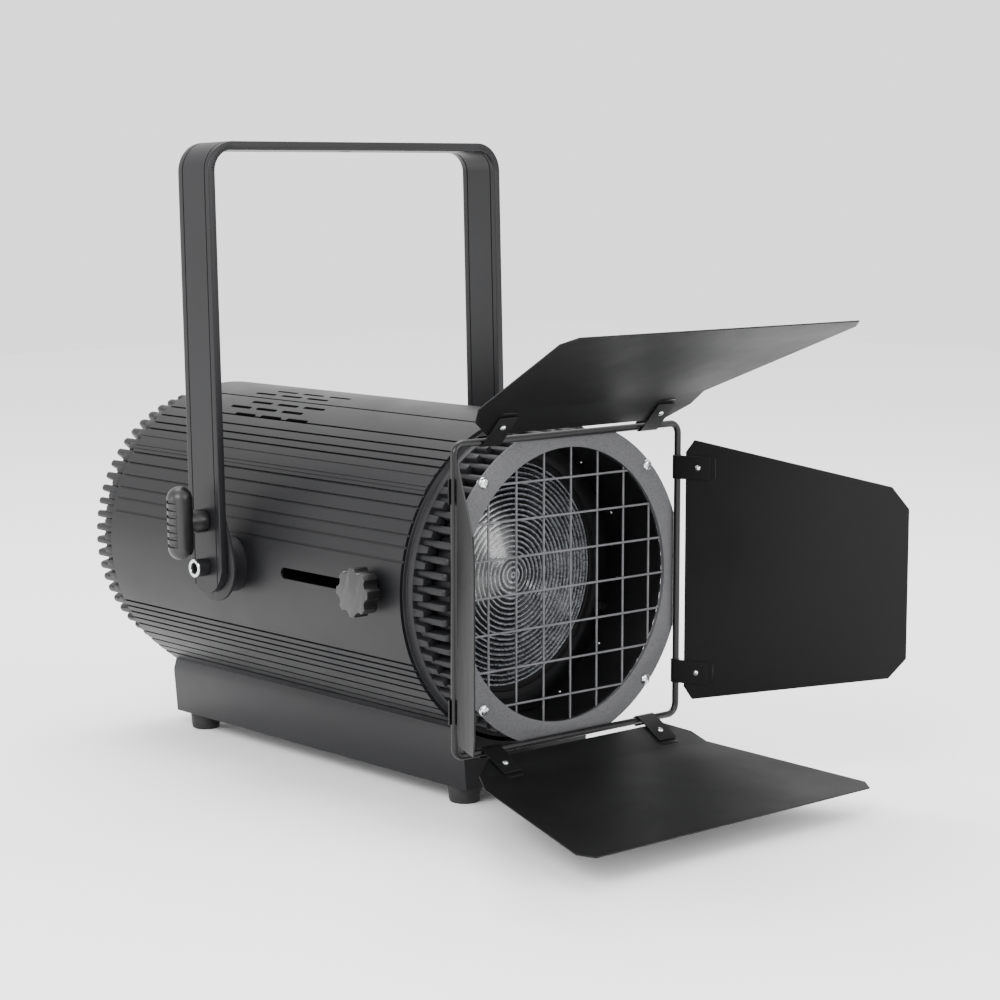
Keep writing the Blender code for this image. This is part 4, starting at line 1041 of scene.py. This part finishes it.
def makeFocusKnob():
    # A round blank scalloped into lobes, domed at its face and necked down to the slot.
    knob = {"radiusMm": 20, "thickMm": 16, "lobes": 8, "scallopMm": 5.4, "neckMm": 9.2, "edgeMm": 1.4,
            "boreFitMm": 0.3}
    low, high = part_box("focus_knob")
    y, z = middleOf(low, high)[1:]
    face, back = low[0], low[0] + knob["thickMm"] * mm
    r = knob["radiusMm"] * mm
    blank = cylinder("focusKnob", r, back - face - 2.2 * mm, ((face + back) / 2 - 0.4 * mm, y, z), "X", 128)
    tools = []
    for number in range(knob["lobes"]):
        angle = 2 * pi * (number + 0.5) / knob["lobes"]
        spot = (face, y + (r + 2.2 * mm) * cos(angle), z + (r + 2.2 * mm) * sin(angle))
        tools.append(cylinder("scallopTool", knob["scallopMm"] * mm, 0.08, spot, "X", 40))
    cut(blank, [joined("scallopTools", tools)])
    softenEdges(blank, knob["edgeMm"] * mm, 3, 35)
    dome = turned("knobDome", [(0, 1.2 * mm), (5 * mm, 1.0 * mm), (9 * mm, 0.5 * mm), (12 * mm, -0.2 * mm),
            (12.4 * mm, -2.5 * mm), (0, -2.5 * mm)], 64)
    moved(dome, Matrix.Translation((face + 1.6 * mm, y, z)) @ Matrix.Rotation(-pi / 2, 4, "Y"))
    neckEnd = high[0] - back + 1.3 * mm
    neck = turned("knobNeck", [(0, 0), (12.5 * mm, 0), (12.5 * mm, 1.6 * mm), (knob["neckMm"] * mm, 2.6 * mm),
            (knob["neckMm"] * mm, neckEnd), (0, neckEnd)],
            64, (back - 1.3 * mm, y, z), "X")
    # The bore that the stud screws into stops short of the face.
    studLow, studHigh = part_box("focus_stud")
    studRadius = (studHigh[1] - studLow[1]) / 2 + knob["boreFitMm"] * mm
    boreTip = studLow[0] - knob["boreFitMm"] * mm
    for piece in (blank, dome, neck):
        bore = cylinder("boreTool", studRadius, studHigh[0] - boreTip,
                ((boreTip + studHigh[0]) / 2, y, z), "X", 48)
        cut(piece, [bore])
    piece = joined("focusKnob", [blank, dome, neck])
    finishPiece(piece, blackNylon, "focus_knob", ["focus_knob"], 35)
    bpy.data.objects["focus_stud"].data.materials.clear()
    bpy.data.objects["focus_stud"].data.materials.append(groundSteel)


makeFocusKnob()
print("knob done")


# Barn doors.

def leafFrame(name):
    joint = next(j for j in frame["joints"] if j["name"] == f"leaf_{name}_hinge")
    return Vector(joint["pos_m"]), Vector(joint["axis"])


def makeLeaf(name):
    # The folded sheet with dressed edges, and a pair of straps round the wire, riveted to it.
    leaf = {"edgeMm": 0.3, "rivetMm": 2.6, "strapEdgeMm": 0.3, "markMm": (16, 1.3, 1.0),
            "markReachMm": 34, "markDropMm": 1.0, "rivetReachMm": 19}
    node = f"leaf_{name}"
    sheet = fromCad(f"leaf{name.title()}", node)
    softenEdges(sheet, leaf["edgeMm"] * mm, 2, 40)
    finishPiece(sheet, sheetPaint, node, [node], 20)
    centre, axis = leafFrame(name)
    for number in (1, 2):
        clip = f"{node}_clip_{number}"
        strap = fromCad(f"leaf{name.title()}Strap{number}", clip)
        softenEdges(strap, leaf["strapEdgeMm"] * mm, 1, 50)
        finishPiece(strap, sheetPaint, node, [clip], 30)
        low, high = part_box(clip)
        middle = Vector(middleOf(low, high))
        # The strap's flat runs from the wire; the rivet stands two thirds of the way along it.
        flat = flatOf(node)
        outward = flat["out"]
        along = middle.dot(axis) - centre.dot(axis)
        spot = centre + axis * along + outward * leaf["rivetReachMm"] * mm + flat["face"] * flat["depth"]
        r = leaf["rivetMm"] * mm
        rivet = turned(f"leaf{name.title()}Rivet{number}", [
            (0, 1.5 * mm), (r * 0.45, 1.35 * mm), (r * 0.85, 0.8 * mm), (r, 0), (r, -0.5 * mm),
            (0, -0.5 * mm)], 20)
        turn = flat["face"].to_track_quat("Z", "Y").to_matrix().to_4x4()
        moved(rivet, Matrix.Translation(spot) @ turn)
        finishPiece(rivet, brightZinc, node, [clip], 50)
        # A short pressed mark stands just proud of the sheet, past the strap's end.
        long, slim, deep = (v * mm for v in leaf["markMm"])
        mark = cube(f"leaf{name.title()}Mark{number}", (-slim / 2, -long / 2, -deep), (slim / 2, long / 2, 0))
        softenEdges(mark, 0.25 * mm, 2, 50)
        basis = Matrix((outward, axis, flat["face"])).transposed().to_4x4()
        place = centre + axis * along + outward * leaf["markReachMm"] * mm + flat["face"] * (
            flat["depth"] - leaf["markDropMm"] * mm)
        moved(mark, Matrix.Translation(place) @ basis)
        tidyMesh(mark)
        finishPiece(mark, wireEnamel, node, [node], 40)


def flatOf(node):
    # The strap side of a leaf's first panel: which way it runs, which way it faces, and how deep.
    name = node.split("_")[1]
    centre, axis = leafFrame(name)
    source = bpy.data.objects[f"{node}_clip_1"].data
    best, face = 0, None
    for polygon in source.polygons:
        if polygon.area > best and abs(polygon.normal.dot(axis)) < 0.1:
            away = (polygon.center - centre) - axis * (polygon.center - centre).dot(axis)
            if polygon.normal.dot(away) > 0 and away.length > 0.008:
                best, face = polygon.area, polygon
    normal = face.normal.copy()
    out = normal.cross(axis)
    away = (face.center - centre) - axis * (face.center - centre).dot(axis)
    if out.dot(away) < 0:
        out = -out
    return {"out": out, "face": normal, "depth": away.dot(normal)}


for leafName in ("top", "right", "bottom", "left"):
    makeLeaf(leafName)
print("doors done")


# Base and feet.

def makeBase():
    base = {"edgeMm": 0.8}
    channel = fromCad("baseChannel", "base")
    softenEdges(channel, base["edgeMm"] * mm, 2, 40)
    # The channel and its cover wear the barrel's paint, toned a little lighter as painted light.
    finishPiece(channel, baseLitTonePaint, "housing", ["base"], 30)
    cover = bpy.data.objects["base_cover"]
    cover.data.materials.clear()
    cover.data.materials.append(baseLitTonePaint)


def makeFeet():
    foot = {"topMm": 14.0, "toeMm": 12.3, "washerMm": 5.5}
    for place in ("front_left", "front_right", "rear_left", "rear_right"):
        low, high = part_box(f"foot_{place}")
        x, y = middleOf(low, high)[:2]
        top, toe = foot["topMm"] * mm, foot["toeMm"] * mm
        height = high[2] - low[2]
        piece = turned(f"foot{place.title().replace('_', '')}", [
            (0, height), (top - 0.6 * mm, height), (top, height - 0.8 * mm), (top, height - 2.4 * mm),
            (toe + 0.6 * mm, 2.2 * mm), (toe, 0.8 * mm), (toe - 1.2 * mm, 0), (foot["washerMm"] * mm, 0),
            (foot["washerMm"] * mm, 3 * mm), (0, 3 * mm)], 64, (x, y, low[2]))
        finishPiece(piece, blackRubber, "housing", [f"foot_{place}"], 35)


makeBase()
makeFeet()
print("base done")


# Rear panel.

def makeRear():
    rear = {"buttonMm": 4.4, "screws": 6, "screwCircleMm": 108, "socketPins": 5}
    panel = fromCad("rearPanel", "rear_panel")
    softenEdges(panel, 0.3 * mm, 2, 50)
    finishPiece(panel, castEnamel, "housing", ["rear_panel"], 30)
    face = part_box("rear_panel")[1][1]

    low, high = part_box("display")
    bezel = cube("displayBezel", low, high)
    pick(bezel, lambda middle, normal: normal.y > 0.5)
    bpy.ops.mesh.inset(thickness=3 * mm)
    bpy.ops.transform.translate(value=(0, -0.8 * mm, 0))
    editEnd()
    softenEdges(bezel, 0.5 * mm, 2, 50)
    finishPiece(bezel, blackNylon, "housing", ["display"], 35)
    window = cube("displayWindow", (low[0] + 3.2 * mm, high[1] - 1.1 * mm, low[2] + 3.2 * mm),
            (high[0] - 3.2 * mm, high[1] - 0.4 * mm, high[2] - 3.2 * mm))
    softenEdges(window, 0.2 * mm, 2, 50)
    finishPiece(window, displayAcrylic, "housing", ["display"], 35)

    for number in range(1, 5):
        low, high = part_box(f"button_{number}")
        r = rear["buttonMm"] * mm
        x, _, z = middleOf(low, high)
        button = turned(f"menuButton{number}", [
            (0, -0.5 * mm), (r * 0.5, -0.35 * mm), (r * 0.8, 0), (r * 0.95, -0.5 * mm), (r, -1.2 * mm),
            (r, -6.8 * mm), (0, -6.8 * mm)], 48, axis="Y")
        moved(button, Matrix.Translation((x, high[1], z)))
        finishPiece(button, blackRubber, f"button_{number}", [f"button_{number}"], 40)

    low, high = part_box("power_inlet")
    inlet = cube("powerInlet", low, high)
    well = cube("wellTool", (low[0] + 10 * mm, low[1] + 1.5 * mm, low[2] + 5 * mm),
            (high[0] - 10 * mm, high[1] + 0.01, high[2] - 5 * mm))
    softenEdges(well, 2.5 * mm, 3, 50)
    cut(inlet, [well])
    softenEdges(inlet, 0.6 * mm, 2, 50)
    finishPiece(inlet, blackNylon, "housing", ["power_inlet"], 35)
    blades = []
    x, _, z = middleOf(low, high)
    for dx, dz in ((-6.5, 1.5), (0, -2.5), (6.5, 1.5)):
        blade = cube("inletBlade", (x + (dx - 1) * mm, low[1] + 1.2 * mm, z + (dz - 2) * mm),
            (x + (dx + 1) * mm, high[1] - 0.6 * mm, z + (dz + 2) * mm))
        blades.append(softenEdges(blade, 0.3 * mm, 2))
    blades = joined("inletBlades", blades)
    finishPiece(blades, nickelPlate, "housing", ["power_inlet"], 40)

    for node, title in (("signal_in", "signalIn"), ("signal_out", "signalOut")):
        low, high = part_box(node)
        x, _, z = middleOf(low, high)
        depth = high[1] - low[1]
        shell = turned(f"{title}Shell", [
            (12.5 * mm, 0), (12.5 * mm, depth - 1.4 * mm), (11.8 * mm, depth - 0.6 * mm),
            (9.6 * mm, depth - 0.6 * mm), (9.4 * mm, depth), (8.6 * mm, depth), (8.5 * mm, depth - 0.4 * mm),
            (8.5 * mm, 0), (12.5 * mm, 0)], 64, (x, low[1], z), "Y", closed=True)
        finishPiece(shell, nickelPlate, "housing", [node], 35)
        deep = depth - 2 * mm
        core = cylinder("socketCore", 8.45 * mm, deep, (x, low[1] + deep / 2, z), "Y", 48)
        holes = []
        for number in range(rear["socketPins"]):
            angle = radians(-35 + 250 * number / (rear["socketPins"] - 1))
            holes.append(cylinder("pinTool", 1.0 * mm, 0.02, (x + 5 * mm * cos(angle), high[1],
                    z + 5 * mm * sin(angle)), "Y", 16))
        cut(core, [joined("pinTools", holes)])
        core.name = f"{title}Core"
        softenEdges(core, 0.2 * mm, 1, 50)
        finishPiece(core, blackNylon, "housing", [node], 35)

    r = 3.4 * mm
    screw = turned("rearScrew", [(0, 1.7 * mm), (r * 0.6, 1.55 * mm), (r * 0.92, 0.9 * mm), (r, 0),
            (r, -0.4 * mm), (0, -0.4 * mm)], 20, axis="Y")
    moved(screw, Matrix.Translation((0, face, axisZ + rear["screwCircleMm"] * mm)))
    screws = aroundAxis(screw, "rearScrews", rear["screws"], radians(30))
    finishPiece(screws, brightZinc, "housing", ["rear_panel"], 50)


makeRear()
print("rear done")


# Pieces inside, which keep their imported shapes.

def finishInside():
    inside = {
        "engine_plate": linerPaint, "heat_sink": milledAluminium, "driver_box": milledAluminium,
        "guide_rail_left": groundSteel, "guide_rail_right": groundSteel, "fan_frame": blackNylon,
        "fan_rotor": blackNylon,
    }
    for node, look in inside.items():
        mesh = bpy.data.objects[node].data
        mesh.materials.clear()
        mesh.materials.append(look)
    # The light module: a white board with one round yellow chip face.
    low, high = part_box("led_module")
    board = cube("ledBoard", (low[0], low[1] + 2 * mm, low[2]), high)
    for x in (-1, 1):
        for z in (-1, 1):
            hole = cylinder("boardHole", 2 * mm, 0.02, (x * 29 * mm, high[1], axisZ + z * 29 * mm), "Y", 20)
            cut(board, [hole])
    softenEdges(board, 0.2 * mm, 1, 50)
    finishPiece(board, boardMask, "housing", ["led_module"], 35)
    gel = turned("ledGel", [(0, -2.4 * mm), (15 * mm, -2.3 * mm), (18 * mm, -1.6 * mm), (19 * mm, 0),
            (19 * mm, 0.3 * mm), (0, 0.3 * mm)], 64, (0, low[1] + 2 * mm, axisZ), "Y")
    finishPiece(gel, phosphorGel, "housing", ["led_module"], 40)


finishInside()
print("inside done")
